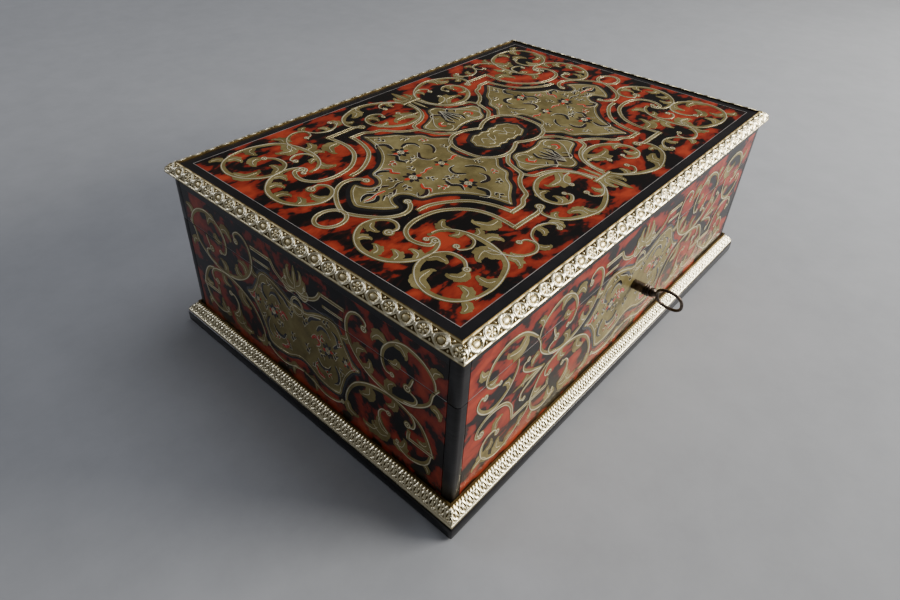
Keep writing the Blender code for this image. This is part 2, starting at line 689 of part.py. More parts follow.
def build_lock(wall, veneer, lid_frame):
    """The lock let into the front wall, its bolt, the strike in the lid, and the keyhole."""
    back = -INNER_Y  # the lock is flush with the wall's inner face
    front = back - LOCK_DEPTH
    half = LOCK_WIDTH / 2
    top = CASE_TOP - 0.2 * MM
    bottom = top - LOCK_HEIGHT
    pocket = box(
        "lock_pocket",
        (-half - GAP, front - GAP, bottom - GAP),
        (half + GAP, back + MM, CASE_TOP + MM),
    )
    cut(wall, pocket)

    case = box("lock_case", (-half, front, bottom), (half, back, top), "brass")
    cavity = box(
        "lock_cavity",
        (-half + LOCK_PLATE, front - MM, bottom + LOCK_PLATE),
        (half - LOCK_PLATE, back - LOCK_PLATE, top - LOCK_PLATE),
    )
    slot = STAPLE_THICKNESS / 2 + 0.6 * MM
    staple_slot = box(
        "staple_slot",
        (STAPLE_X - slot, front - MM, top - 2 * LOCK_PLATE),
        (STAPLE_X + slot, back - LOCK_PLATE, top + MM),
    )
    cut(case, cavity, staple_slot)
    drill_pin = rod(
        "drill_pin",
        DRILL_PIN_RADIUS,
        (0, back - LOCK_PLATE / 2, KEYHOLE_Z),
        (0, front - MM, KEYHOLE_Z),
        sides=12,
    )
    stud_z = top - LOCK_PLATE - 1.2 * MM - BOLT_HEIGHT / 2
    stud = rod(
        "bolt_stud",
        BOLT_STUD_RADIUS,
        (BOLT_STUD_X, back - LOCK_PLATE / 2, stud_z),
        (BOLT_STUD_X, front + GAP, stud_z),
        sides=12,
    )
    join(case, drill_pin, stud)

    middle_y = (front - GAP + back - LOCK_PLATE) / 2
    bolt_top = top - LOCK_PLATE - 1.2 * MM
    bolt_bottom = bolt_top - BOLT_HEIGHT
    tongue_tip = STAPLE_X - STAPLE_THICKNESS / 2 - 1.5 * MM
    shoulder = tongue_tip - TONGUE_LENGTH
    bolt = box(
        "lock_bolt",
        (shoulder - BOLT_LENGTH, middle_y - BOLT_THICKNESS / 2, bolt_bottom),
        (shoulder, middle_y + BOLT_THICKNESS / 2, bolt_top),
        "steel",
    )
    tongue_z = bolt_top - TONGUE_DROP
    join(
        bolt,
        box(
            "bolt_tongue",
            (shoulder - 2 * MM, middle_y - TONGUE_THICKNESS / 2, tongue_z - TONGUE_HEIGHT / 2),
            (tongue_tip, middle_y + TONGUE_THICKNESS / 2, tongue_z + TONGUE_HEIGHT / 2),
        ),
    )

    play = BOLT_STUD_RADIUS + GAP
    bolt_slot = box(
        "bolt_slot",
        (BOLT_STUD_X - BOLT_THROW - play, front - MM, stud_z - play),
        (BOLT_STUD_X + MM + play, back, stud_z + play),
    )
    cut(bolt, bolt_slot)

    plate_half, plate_depth = 15 * MM, 5.6 * MM
    strike = box(
        "strike_plate",
        (STAPLE_X - plate_half, middle_y - plate_depth / 2, LID_BOTTOM + 0.1 * MM),
        (STAPLE_X + plate_half, middle_y + plate_depth / 2, LID_BOTTOM + 0.1 * MM + LOCK_PLATE),
        "brass",
    )
    cut(
        lid_frame,
        box(
            "strike_pocket",
            (STAPLE_X - plate_half - GAP, middle_y - plate_depth / 2 - GAP, LID_BOTTOM - MM),
            (
                STAPLE_X + plate_half + GAP,
                middle_y + plate_depth / 2 + GAP,
                LID_BOTTOM + 0.1 * MM + LOCK_PLATE + GAP,
            ),
        ),
    )
    hang = LID_BOTTOM - STAPLE_DROP
    staple = box(
        "staple",
        (STAPLE_X - STAPLE_THICKNESS / 2, middle_y - STAPLE_WIDTH / 2, hang),
        (STAPLE_X + STAPLE_THICKNESS / 2, middle_y + STAPLE_WIDTH / 2, LID_BOTTOM + 0.8 * MM),
    )
    eye_half = STAPLE_WIDTH / 2 - STAPLE_WIRE
    eye = box(
        "staple_eye",
        (STAPLE_X - STAPLE_THICKNESS, middle_y - eye_half, hang + STAPLE_WIRE),
        (STAPLE_X + STAPLE_THICKNESS, middle_y + eye_half, CASE_TOP - LOCK_PLATE - GAP),
    )
    join(strike, staple)
    cut(strike, eye)

    hole = KEY_BARREL_RADIUS + 0.4 * MM
    keyhole = rod(
        "keyhole_round",
        hole,
        (0, -DEPTH / 2 - MM, KEYHOLE_Z),
        (0, -INNER_Y - 2 * MM, KEYHOLE_Z),
    )
    slit = KEY_BIT_THICKNESS / 2 + 0.4 * MM
    keyhole_slit = box(
        "keyhole_slit",
        (-slit, -DEPTH / 2 - MM, KEYHOLE_Z - KEY_BIT_REACH - 0.5 * MM),
        (slit, -INNER_Y - 2 * MM, KEYHOLE_Z),
    )
    for part in (wall, veneer):
        cut(part, keyhole, keyhole_slit)


def build_key():
    """A barrel key lying along Y with its bow outside, turned a little from where it went in."""
    bow_end = -DEPTH / 2 - KEY_REACH
    tip = KEY_LENGTH
    bow_back = KEY_BOW_LENGTH - 2 * KEY_BOW_WIRE  # where the neck meets the bow
    collar = bow_back + 2.2 * MM
    r, bore = KEY_BARREL_RADIUS, KEY_BORE_RADIUS
    profile = [
        (bore, tip),
        (r, tip),
        (r, collar + 6.4 * MM),
        (r + 0.5 * MM, collar + 6 * MM),
        (r + 0.5 * MM, collar + 5.2 * MM),
        (r - 0.5 * MM, collar + 4.8 * MM),
        (r + 0.4 * MM, collar + 4.4 * MM),
        (r + 0.4 * MM, collar + 3.6 * MM),
        (r - 0.8 * MM, collar + 3.2 * MM),
        (r - 0.2 * MM, collar + 2.2 * MM),
        (r - 0.3 * MM, collar + 1.2 * MM),
        (1.2 * MM, collar),
        (1.2 * MM, bow_back),
        (0, bow_back),
        (0, tip - 11.5 * MM),
        (bore, tip - 11 * MM),
    ]
    outward = (-math.pi / 2, 0, 0)  # local Z to +Y, local Y to -Z
    base = Vector((0, bow_end, KEYHOLE_Z))
    key = turned("key", profile, "steel", base, outward, steps=24, ring=True)
    turn = math.radians(KEY_TURN)
    across = Vector((-math.sin(turn), 0, math.cos(turn)))  # the bow's width
    bow = bpy.data.curves.new("key_bow", "CURVE")
    bow.dimensions = "3D"
    bow.bevel_depth = KEY_BOW_WIRE
    bow.bevel_resolution = 2
    ring = bow.splines.new("POLY")
    count = 28
    ring.points.add(count - 1)
    ring.use_cyclic_u = True
    along, wide = KEY_BOW_LENGTH / 2 - KEY_BOW_WIRE, KEY_BOW_WIDTH / 2 - KEY_BOW_WIRE
    middle = base + Vector((0, KEY_BOW_LENGTH / 2, 0))
    for i, point in enumerate(ring.points):
        a = 2 * math.pi * i / count
        place = middle + Vector((0, along * math.cos(a), 0)) + across * wide * math.sin(a)
        point.co = (*place, 1)
    bow = as_mesh(add("key_bow", bow))
    bit_start = tip - 0.6 * MM - KEY_BIT_LENGTH
    bit = box(
        "key_bit",
        (-KEY_BIT_THICKNESS / 2, bow_end + bit_start, -KEY_BIT_REACH),
        (KEY_BIT_THICKNESS / 2, bow_end + bit_start + KEY_BIT_LENGTH, -KEY_BARREL_RADIUS + 0.6 * MM),
    )
    place = Matrix.Translation((0, 0, KEYHOLE_Z)) @ Matrix.Rotation(-turn, 4, "Y")
    bit.matrix_world = place @ Matrix.Translation(bit.location)
    join(key, bow, bit)


# ------------------------------------------------------------ the movement


def at_axis(x, y=CYLINDER_Y):
    """A point on one of the movement's axes along X."""
    return (x, y, AXIS_HEIGHT)


def bridge(name, x, y_low, y_high, top, holes, foot_side):
    """An upright brass plate with rounded shoulders and holes for arbors, on a foot to one side of it."""
    round_off = 6 * MM
    low = BEDPLATE_TOP + GAP
    outline = [(y_low, low + MM), (y_high, low + MM)]
    outline += arc((y_high - round_off, top - round_off), round_off, 0, 90, 5)
    outline += arc((y_low + round_off, top - round_off), round_off, 90, 180, 5)
    outlines = [outline]
    for y, radius in holes:
        outlines.append(arc((y, AXIS_HEIGHT), radius, 0, 345, 24))
    obj = plate(name, outlines, x - BRIDGE / 2, x + BRIDGE / 2, "brass", rotation=ALONG_X)
    lip, edge = 0.4 * MM, BRIDGE / 2 + 0.4 * MM
    ends = sorted((x - foot_side * edge, x + foot_side * BRIDGE_FOOT))
    foot = box(
        f"{name}_foot",
        (ends[0], y_low - lip, low),
        (ends[1], y_high + lip, low + BRIDGE_FOOT_THICKNESS),
    )
    return join(obj, foot)


def build_bedplate():
    """The iron plate on four feet, with the post that the play lever turns on."""
    low = FLOOR + BEDPLATE_FEET
    bed = box(
        "bedplate",
        (BEDPLATE_LEFT, BEDPLATE_FRONT, low),
        (BEDPLATE_RIGHT, BEDPLATE_BACK, BEDPLATE_TOP),
        "iron",
    )
    inset = 9 * MM
    for i, x in enumerate((BEDPLATE_LEFT + inset, BEDPLATE_RIGHT - inset)):
        for j, y in enumerate((BEDPLATE_FRONT + inset, BEDPLATE_BACK - inset)):
            foot = rod(f"bed_foot_{i}{j}", 5 * MM, (x, y, FLOOR), (x, y, low + MM), sides=16)
            join(bed, foot)
    x, y = PLAY_LEVER_PIVOT
    post_top = PLAY_LEVER_HEIGHT - GAP
    pin_top = PLAY_LEVER_HEIGHT + PLAY_LEVER_THICKNESS + MM
    join(
        bed,
        rod("lever_post", PLAY_LEVER_POST, (x, y, BEDPLATE_TOP - MM), (x, y, post_top), sides=16),
        rod("lever_pin", PLAY_LEVER_PIN, (x, y, post_top - MM), (x, y, pin_top), sides=16),
    )


def build_bridges():
    """The three plates that carry the barrel, the cylinder and the governor's wheel."""
    bore = ARBOR_RADIUS + GAP
    top = AXIS_HEIGHT + BRIDGE_RISE
    reach = 13 * MM
    barrel_hole, cylinder_hole = (BARREL_Y, bore), (CYLINDER_Y, bore)
    bridge(
        "bridge_left", LEFT_BRIDGE_X, BARREL_Y - reach, BARREL_Y + reach, top, [barrel_hole], 1
    )
    bridge(
        "bridge_middle",
        MIDDLE_BRIDGE_X,
        BARREL_Y - reach,
        CYLINDER_Y + reach,
        top,
        [barrel_hole, cylinder_hole],
        1,
    )
    bridge(
        "bridge_right",
        RIGHT_BRIDGE_X,
        CYLINDER_Y - reach,
        GOVERNOR_Y + 4.6 * MM,
        AXIS_HEIGHT + 8 * MM,
        [cylinder_hole, (GOVERNOR_Y, GOVERNOR_ARBOR_RADIUS + GAP)],
        -1,
    )


def build_barrel():
    """The spring barrel with its great wheel, and the arbor with the ratchet that winds it."""
    wheel_left = DRIVE_X - DRIVE_FACE / 2
    bore = ARBOR_RADIUS + GAP
    length = wheel_left - BARREL_LEFT + MM
    wall = 1.6 * MM
    groove = BARREL_RADIUS - 0.8 * MM
    profile = [
        (bore, length),
        (BARREL_RADIUS, length),
        (BARREL_RADIUS, length - 3 * MM),
        (groove, length - 3.6 * MM),
        (groove, 4.6 * MM),
        (BARREL_RADIUS, 4 * MM),
        (BARREL_RADIUS, 0),
        (BARREL_RADIUS - wall, 0),
        (BARREL_RADIUS - wall, 2 * MM),
        (6 * MM, 2 * MM),
        (6 * MM, 0),
        (bore, 0),
    ]
    drum = turned(
        "spring_barrel", profile, "brass", at_axis(BARREL_LEFT, BARREL_Y), ALONG_X, 40, ring=True
    )
    wheel = plate(
        "great_wheel",
        gear_outline(BARREL_TEETH, DRIVE_MODULE, bore=bore),
        -DRIVE_FACE / 2,
        DRIVE_FACE / 2,
        location=at_axis(DRIVE_X, BARREL_Y),
        rotation=ALONG_X,
    )
    join(drum, wheel)

    arbor = rod(
        "winding_arbor",
        ARBOR_RADIUS,
        at_axis(LEVER_X - LEVER_THICKNESS / 2 - 2 * MM, BARREL_Y),
        at_axis(MIDDLE_BRIDGE_X + BRIDGE / 2 + MM, BARREL_Y),
        "steel",
    )
    teeth = []
    for i in range(RATCHET_TEETH):
        a = 2 * math.pi * i / RATCHET_TEETH
        teeth.append((RATCHET_RADIUS * math.cos(a), RATCHET_RADIUS * math.sin(a)))
        b = a + 2 * math.pi * 0.12 / RATCHET_TEETH
        root = RATCHET_RADIUS * 0.86
        teeth.append((root * math.cos(b), root * math.sin(b)))
    ratchet = plate(
        "ratchet",
        [teeth],
        -RATCHET_THICKNESS / 2,
        RATCHET_THICKNESS / 2,
        location=at_axis(RATCHET_X, BARREL_Y),
        rotation=ALONG_X,
    )
    join(arbor, ratchet)


def build_winding_lever():
    """A hub on the winding arbor, a tapering arm and a round knob."""
    turn = math.radians(LEVER_ANGLE)
    hub, end = LEVER_HUB_RADIUS, 3.2 * MM
    outline = arc((0, 0), hub, 30, 330, 20) + arc((LEVER_LENGTH, 0), end, -80, 80, 7)
    tilt = [
        (x * math.cos(turn) - y * math.sin(turn), x * math.sin(turn) + y * math.cos(turn))
        for x, y in outline
    ]
    bore = arc((0, 0), ARBOR_RADIUS + GAP, 0, 345, 24)
    lever = plate(
        "winding_lever",
        [tilt, bore],
        -LEVER_THICKNESS / 2,
        LEVER_THICKNESS / 2,
        "steel",
        at_axis(LEVER_X, BARREL_Y),
        ALONG_X,
    )
    knob = (
        LEVER_X,
        BARREL_Y + LEVER_LENGTH * math.cos(turn),
        AXIS_HEIGHT + LEVER_LENGTH * math.sin(turn),
    )
    join(lever, ball("lever_knob", LEVER_KNOB_RADIUS, knob))


def build_cylinder():
    """The hollow cylinder on its arbor, with the pinion that turns it and the wheel it turns."""
    bore = ARBOR_RADIUS + GAP
    inner = CYLINDER_RADIUS - CYLINDER_WALL
    length = CYLINDER_LENGTH
    disc = CYLINDER_END_DISC
    profile = [
        (bore, length),
        (inner - MM, length),
        (CYLINDER_RADIUS, length - 0.6 * MM),
        (CYLINDER_RADIUS, 0.6 * MM),
        (inner - MM, 0),
        (bore, 0),
        (bore, disc),
        (inner, disc),
        (inner, length - disc),
        (bore, length - disc),
    ]
    turned(
        "pinned_cylinder", profile, "brass", at_axis(CYLINDER_LEFT), ALONG_X, steps=48, ring=True
    )
    arbor = rod(
        "cylinder_arbor",
        ARBOR_RADIUS,
        at_axis(DRIVE_X - DRIVE_FACE / 2 - 1.5 * MM),
        at_axis(RIGHT_BRIDGE_X + BRIDGE / 2 + 1.5 * MM),
        "steel",
    )
    # A tooth of each wheel faces a space of its mate on the line between the two axes.
    pinion = plate(
        "drive_pinion",
        gear_outline(DRIVE_PINION_TEETH, DRIVE_MODULE, 180 + 180 / DRIVE_PINION_TEETH),
        -DRIVE_FACE / 2,
        DRIVE_FACE / 2,
        location=at_axis(DRIVE_X),
        rotation=ALONG_X,
    )
    wheel = plate(
        "governor_drive",
        gear_outline(GOVERNOR_DRIVE_TEETH, GOVERNOR_MODULE),
        -GOVERNOR_FACE / 2,
        GOVERNOR_FACE / 2,
        location=at_axis(GOVERNOR_DRIVE_X),
        rotation=ALONG_X,
    )
    join(arbor, pinion, wheel)


def build_comb():
    """The steel comb and the brass base that it is screwed to."""
    tips = CYLINDER_Y - CYLINDER_RADIUS - COMB_GAP
    heel = tips - COMB_DEPTH
    roots = tips - COMB_TOOTH_LENGTH
    left, width = CYLINDER_LEFT + MM, CYLINDER_LENGTH - 2 * MM
    pitch = width / COMB_TEETH
    outline = [(left, heel)]
    for i in range(COMB_TEETH):
        # The bass teeth at the left are the longest, so the slots grow shorter to the right.
        root = roots + 8 * MM * i / COMB_TEETH
        start, end = left + i * pitch, left + (i + 1) * pitch - COMB_SLOT
        if i:
            outline.append((start, root))
        outline += [(start, tips), (end, tips)]
        if i < COMB_TEETH - 1:
            outline.append((end, root))
    right = outline[-1][0]
    outline.append((right, heel))
    plate(
        "comb",
        [outline[::-1]],
        AXIS_HEIGHT - COMB_THICKNESS / 2,
        AXIS_HEIGHT + COMB_THICKNESS / 2,
        "steel",
    )
    top = AXIS_HEIGHT - COMB_THICKNESS / 2 - GAP
    low = BEDPLATE_TOP + GAP
    back = heel + COMB_BASE_DEPTH - 7 * MM
    section = [
        (heel - 2 * MM, low),
        (back, low),
        (back, top - 8 * MM),
        (back - 2 * MM, top),
        (heel, top),
        (heel - 2 * MM, top - 3 * MM),
    ]
    plate("comb_base", [section], left, right, "brass", rotation=ALONG_X)


def build_governor():
    """The air brake: a wheel driven by the cylinder, the endless screw with its fly, and their frame."""
    # The pinion's space faces the drive wheel's tooth, which lies straight back from the cylinder.
    wheel = rod(
        "governor_wheel",
        GOVERNOR_ARBOR_RADIUS,
        at_axis(GOVERNOR_DRIVE_X - GOVERNOR_FACE / 2 - MM, GOVERNOR_Y),
        at_axis(BEDPLATE_RIGHT - MM, GOVERNOR_Y),
        "steel",
        sides=16,
    )
    pinion = plate(
        "governor_pinion",
        gear_outline(GOVERNOR_PINION_TEETH, GOVERNOR_MODULE, 180 + 180 / GOVERNOR_PINION_TEETH),
        -GOVERNOR_FACE / 2,
        GOVERNOR_FACE / 2,
        location=at_axis(GOVERNOR_DRIVE_X, GOVERNOR_Y),
        rotation=ALONG_X,
    )
    worm_wheel = plate(
        "worm_wheel",
        gear_outline(WORM_WHEEL_TEETH, WORM_MODULE),
        -WORM_WHEEL_FACE / 2,
        WORM_WHEEL_FACE / 2,
        location=at_axis(WORM_X, GOVERNOR_Y),
        rotation=ALONG_X,
    )
    join(wheel, pinion, worm_wheel)

    fly = rod(
        "fly",
        FLY_SHAFT_RADIUS,
        (WORM_X, WORM_Y, BEDPLATE_TOP + GAP + GOVERNOR_ARM),
        (WORM_X, WORM_Y, GOVERNOR_TOP + GOVERNOR_ARM),
        "steel",
        sides=12,
    )
    vane = box(
        "fly_vane",
        (WORM_X - FLY_RADIUS, WORM_Y - FLY_THICKNESS / 2, FLY_BOTTOM),
        (WORM_X + FLY_RADIUS, WORM_Y + FLY_THICKNESS / 2, FLY_BOTTOM + FLY_HEIGHT),
    )
    join(fly, worm(), vane)

    low, side = BEDPLATE_TOP + GAP, 6 * MM
    back = WORM_Y + FLY_RADIUS + 2.6 * MM
    front = WORM_Y - 3.4 * MM
    top = GOVERNOR_TOP + GOVERNOR_ARM
    section = [
        (front, low),
        (back + GOVERNOR_ARM, low),
        (back + GOVERNOR_ARM, top),
        (front, top),
        (front, GOVERNOR_TOP),
        (back, GOVERNOR_TOP),
        (back, low + GOVERNOR_ARM),
        (front, low + GOVERNOR_ARM),
    ]
    frame = plate(
        "governor_frame", [section], WORM_X - side, WORM_X + side, "brass", rotation=ALONG_X
    )
    cheek = box(
        "governor_cheek",
        (BEDPLATE_RIGHT - GOVERNOR_ARM - MM, GOVERNOR_Y - 6 * MM, low),
        (BEDPLATE_RIGHT - MM + GAP, back + GOVERNOR_ARM, AXIS_HEIGHT + 6 * MM),
    )
    join(frame, cheek)
    pivot = FLY_SHAFT_RADIUS + GAP
    cut(
        frame,
        rod("fly_bore", pivot, (WORM_X, WORM_Y, low + MM), (WORM_X, WORM_Y, top + MM), sides=16),
        rod(
            "governor_bore",
            GOVERNOR_ARBOR_RADIUS + GAP,
            at_axis(BEDPLATE_RIGHT - GOVERNOR_ARM - 2 * MM, GOVERNOR_Y),
            at_axis(BEDPLATE_RIGHT + MM, GOVERNOR_Y),
            sides=16,
        ),
    )


def worm():
    """The endless screw: one thread with a lead of one tooth of its wheel, as a swept ridge on a core."""
    lead = math.pi * WORM_MODULE
    per_turn = 14
    root, crest = WORM_PITCH_RADIUS - 1.1 * WORM_MODULE, WORM_PITCH_RADIUS + 0.8 * WORM_MODULE
    root_half, crest_half = 0.78 * WORM_MODULE, 0.2 * WORM_MODULE
    count = WORM_TURNS * per_turn
    start = -WORM_TURNS * lead / 2
    mesh = bpy.data.meshes.new("worm_thread")
    shape = bmesh.new()
    rows = []
    for i in range(count + 1):
        # The thread's space faces the wheel's tooth, which points straight at the screw.
        a = 2 * math.pi * i / per_turn - math.pi / 2
        z = start + lead * i / per_turn
        row = [
            shape.verts.new((radius * math.cos(a), radius * math.sin(a), z + dz))
            for radius, dz in (
                (root - 0.3 * MM, -root_half),
                (crest, -crest_half),
                (crest, crest_half),
                (root - 0.3 * MM, root_half),
            )
        ]
        rows.append(row)
    for first, second in zip(rows, rows[1:]):
        for k in range(4):
            shape.faces.new((first[k], second[k], second[(k + 1) % 4], first[(k + 1) % 4]))
    shape.faces.new(rows[0])
    shape.faces.new(rows[-1][::-1])
    bmesh.ops.recalc_face_normals(shape, faces=shape.faces)
    shape.to_mesh(mesh)
    shape.free()
    thread = add("worm_thread", mesh, None, (WORM_X, WORM_Y, AXIS_HEIGHT))
    reach = WORM_TURNS * lead / 2 + 1.4 * MM
    profile = [(0, reach), (root, reach), (root, -reach), (0, -reach)]
    core = turned("worm_core", profile, None, (WORM_X, WORM_Y, AXIS_HEIGHT), steps=per_turn)
    return join(core, thread)


def build_play_lever():
    """The start and stop lever: an arm by the fly, a pivot, and a long arm out to a finger knob."""
    x, y = PLAY_LEVER_PIVOT
    half, arm, reach = PLAY_LEVER_WIDTH / 2, PLAY_LEVER_ARM, PLAY_LEVER_REACH
    tip = PLAY_LEVER_TIP / 2
    outline = [
        (reach, -half),
        (reach, half),
        (half, half),
        (tip, arm),
        (-tip, arm),
        (-half, half),
        *arc((0, 0), half, 180, 270, 5),
    ]
    bore = arc((0, 0), PLAY_LEVER_PIN + GAP, 0, 345, 24)
    lever = plate(
        "play_lever",
        [outline, bore],
        PLAY_LEVER_HEIGHT,
        PLAY_LEVER_HEIGHT + PLAY_LEVER_THICKNESS,
        "steel",
        (x, y, 0),
    )
    knob = [
        (0, 11 * MM),
        (2.2 * MM, 10.4 * MM),
        (3.4 * MM, 8.4 * MM),
        (3 * MM, 6 * MM),
        (1.6 * MM, 4.4 * MM),
        (2 * MM, 0),
        (0, 0),
    ]
    stand = (x + reach - 5 * MM, y, PLAY_LEVER_HEIGHT + PLAY_LEVER_THICKNESS / 2)
    join(lever, turned("play_lever_knob", knob, None, stand, steps=20))


def build_partitions():
    """The two partitions with a rebate each, and the glass that drops into the rebates."""
    low, top = FLOOR, PARTITION_HEIGHT
    reach = INNER_Y - GAP
    lip_top = top + GAP + GLASS
    turned_y = (math.pi / 2, 0, math.pi)  # local Z to +Y, local X to -X, local Y to Z
    made = {}
    for side, x, sign in (("left", LEFT_PARTITION_X, -1), ("right", RIGHT_PARTITION_X, 1)):
        out = x + sign * PARTITION / 2
        lip = out - sign * PARTITION_LIP
        inner = x - sign * PARTITION / 2
        section = [(-out, low), (-inner, low), (-inner, top), (-lip, top), (-lip, lip_top), (-out, lip_top)]
        made[side] = plate(
            f"partition_{side}", [section], -reach, reach, "oak", rotation=turned_y
        )
    cut(
        made["left"],
        rod(
            "arbor_hole",
            ARBOR_RADIUS + MM,
            at_axis(LEFT_PARTITION_X - PARTITION, BARREL_Y),
            at_axis(LEFT_PARTITION_X + PARTITION, BARREL_Y),
        ),
    )
    y = PLAY_LEVER_PIVOT[1]
    cut(
        made["right"],
        box(
            "lever_window",
            (RIGHT_PARTITION_X - PARTITION, y - PLAY_LEVER_WIDTH, PLAY_LEVER_HEIGHT - 1.6 * MM),
            (
                RIGHT_PARTITION_X + PARTITION,
                y + 2 * PLAY_LEVER_WIDTH,
                PLAY_LEVER_HEIGHT + PLAY_LEVER_THICKNESS + 1.6 * MM,
            ),
        ),
    )
    left = LEFT_PARTITION_X - PARTITION / 2 + PARTITION_LIP + GAP
    right = RIGHT_PARTITION_X + PARTITION / 2 - PARTITION_LIP - GAP
    box(
        "glass_cover",
        (left, -reach, PARTITION_HEIGHT + GAP),
        (right, reach, PARTITION_HEIGHT + GAP + GLASS),
        "glass",
    )


def main():
    """Builds the casket from the base up, then the movement inside it."""
    rebates = post_rebates()
    walls, case_veneers = build_case(rebates)
    lid_frame, lid_veneers = build_lid(rebates)
    build_hinges((walls["back"], case_veneers["back"]), (lid_frame, lid_veneers["back"]))
    build_lock(walls["front"], case_veneers["front"], lid_frame)
    build_key()
    build_bedplate()
    build_bridges()
    build_barrel()
    build_winding_lever()
    build_cylinder()
    build_comb()
    build_governor()
    build_play_lever()
    build_partitions()


main()
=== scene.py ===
"""Looks of a wind-up music box: a casket in red tortoiseshell and engraved brass, with a lever-wound movement."""

import logging
import math
from collections.abc import Iterable, Sequence
from dataclasses import dataclass, replace
from enum import Enum

import bmesh
import bpy
import numpy as np
from mathutils import Matrix, Vector
from mathutils.geometry import tessellate_polygon


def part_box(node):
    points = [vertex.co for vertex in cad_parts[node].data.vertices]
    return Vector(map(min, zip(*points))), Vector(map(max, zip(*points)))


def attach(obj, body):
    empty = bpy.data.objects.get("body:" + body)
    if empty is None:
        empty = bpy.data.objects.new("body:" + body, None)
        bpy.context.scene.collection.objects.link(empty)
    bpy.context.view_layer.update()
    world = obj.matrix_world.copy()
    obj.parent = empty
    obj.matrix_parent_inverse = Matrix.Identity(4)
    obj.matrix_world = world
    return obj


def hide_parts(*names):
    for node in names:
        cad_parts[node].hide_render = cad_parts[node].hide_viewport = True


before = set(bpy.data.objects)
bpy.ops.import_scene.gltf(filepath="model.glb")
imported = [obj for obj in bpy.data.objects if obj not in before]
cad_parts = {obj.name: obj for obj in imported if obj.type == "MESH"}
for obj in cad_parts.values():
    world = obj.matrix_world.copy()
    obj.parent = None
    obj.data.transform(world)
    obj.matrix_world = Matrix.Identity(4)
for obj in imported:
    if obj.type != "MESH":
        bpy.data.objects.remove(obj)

log = logging.getLogger("music_box")

MM = 0.001
Point = tuple[float, float]
Colour = tuple[float, float, float, float]


# ---------------------------------------------------------------- finishes


def srgb(code: str) -> Colour:
    """The linear colour of an sRGB hex value.

    Args:
        code: six hex digits after a #.

    Returns:
        Red, green, blue and alpha.
    """
    parts = [int(code[i : i + 2], 16) / 255 for i in (1, 3, 5)]
    linear = [p / 12.92 if p <= 0.04045 else ((p + 0.055) / 1.055) ** 2.4 for p in parts]
    return (*linear, 1.0)


def feed(tree: bpy.types.NodeTree, node: bpy.types.Node, inputs: dict[str | int, object]) -> None:
    """Sets a node's inputs.

    Args:
        tree: the node tree that it is in.
        node: the node.
        inputs: each input's value, or the socket that feeds it.
    """
    for socket, value in inputs.items():
        if isinstance(value, bpy.types.NodeSocket):
            tree.links.new(value, node.inputs[socket])
        else:
            node.inputs[socket].default_value = value


def add_node(
    tree: bpy.types.NodeTree,
    kind: str,
    links: dict[str | int, object] | None = None,
    stops: Sequence[tuple[float, str]] = (),
    **settings: object,
) -> bpy.types.Node:
    """Adds a node.

    Args:
        tree: the node tree it goes into.
        kind: its type's name.
        links: each input's value, or the socket that feeds it.
        stops: the places and sRGB colours of a colour ramp.
        settings: the node's own settings.

    Returns:
        The new node.
    """
    made = tree.nodes.new(kind)
    for name, value in settings.items():
        setattr(made, name, value)
    feed(tree, made, links or {})
    for i, (place, code) in enumerate(stops):
        ramp = made.color_ramp.elements
        stop = ramp[i] if i < 2 else ramp.new(place)
        stop.position = place
        stop.color = srgb(code)
    return made


@dataclass(frozen=True)
class Finish:
    """What one material is and how its surface was made."""

    name: str
    slot: str | None
    colours: tuple[str, ...]
    roughness: float
    metallic: float = 0.0
    ior: float = 1.5  # a metal keeps the default
    coat: float = 0.0
    coat_roughness: float = 0.05

    def material(self) -> bpy.types.Material:
        """The material, made the first time that it is asked for."""
        found = bpy.data.materials.get(self.name)
        if found:
            return found
        made = bpy.data.materials.new(self.name)
        made.use_nodes = True
        tree = made.node_tree
        shader = tree.nodes["Principled BSDF"]
        values = {
            "Base Color": srgb(self.colours[0]),
            "Roughness": self.roughness,
            "Metallic": self.metallic,
            "IOR": self.ior,
            "Coat Weight": self.coat,
            "Coat Roughness": self.coat_roughness,
        }
        feed(tree, shader, values)
        self.dress(tree, shader)
        return made

    def dress(self, tree: bpy.types.NodeTree, shader: bpy.types.Node) -> None:
        """Adds the pattern of the surface; each kind of finish has its own.

        Args:
            tree: the material's nodes.
            shader: its shader.
        """

    def noise(
        self, tree: bpy.types.NodeTree, size: float, stretch: tuple[float, float, float] = (1, 1, 1), **links: float
    ) -> bpy.types.NodeSocket:
        """A noise in the object's own space.

        Args:
            tree: the node tree it goes into.
            size: about how large its blotches are, in metres.
            stretch: how far they are drawn out along each axis.
            links: the noise's other inputs.

        Returns:
            The socket that gives its value.
        """
        place = add_node(tree, "ShaderNodeTexCoord").outputs["Object"]
        turned = add_node(
            tree, "ShaderNodeMapping", {"Vector": place, "Scale": tuple(1 / s for s in stretch)}
        )
        inputs = {"Vector": turned.outputs[0], "Scale": 1 / size}
        inputs.update({k.capitalize(): v for k, v in links.items()})
        return add_node(tree, "ShaderNodeTexNoise", inputs).outputs["Fac"]


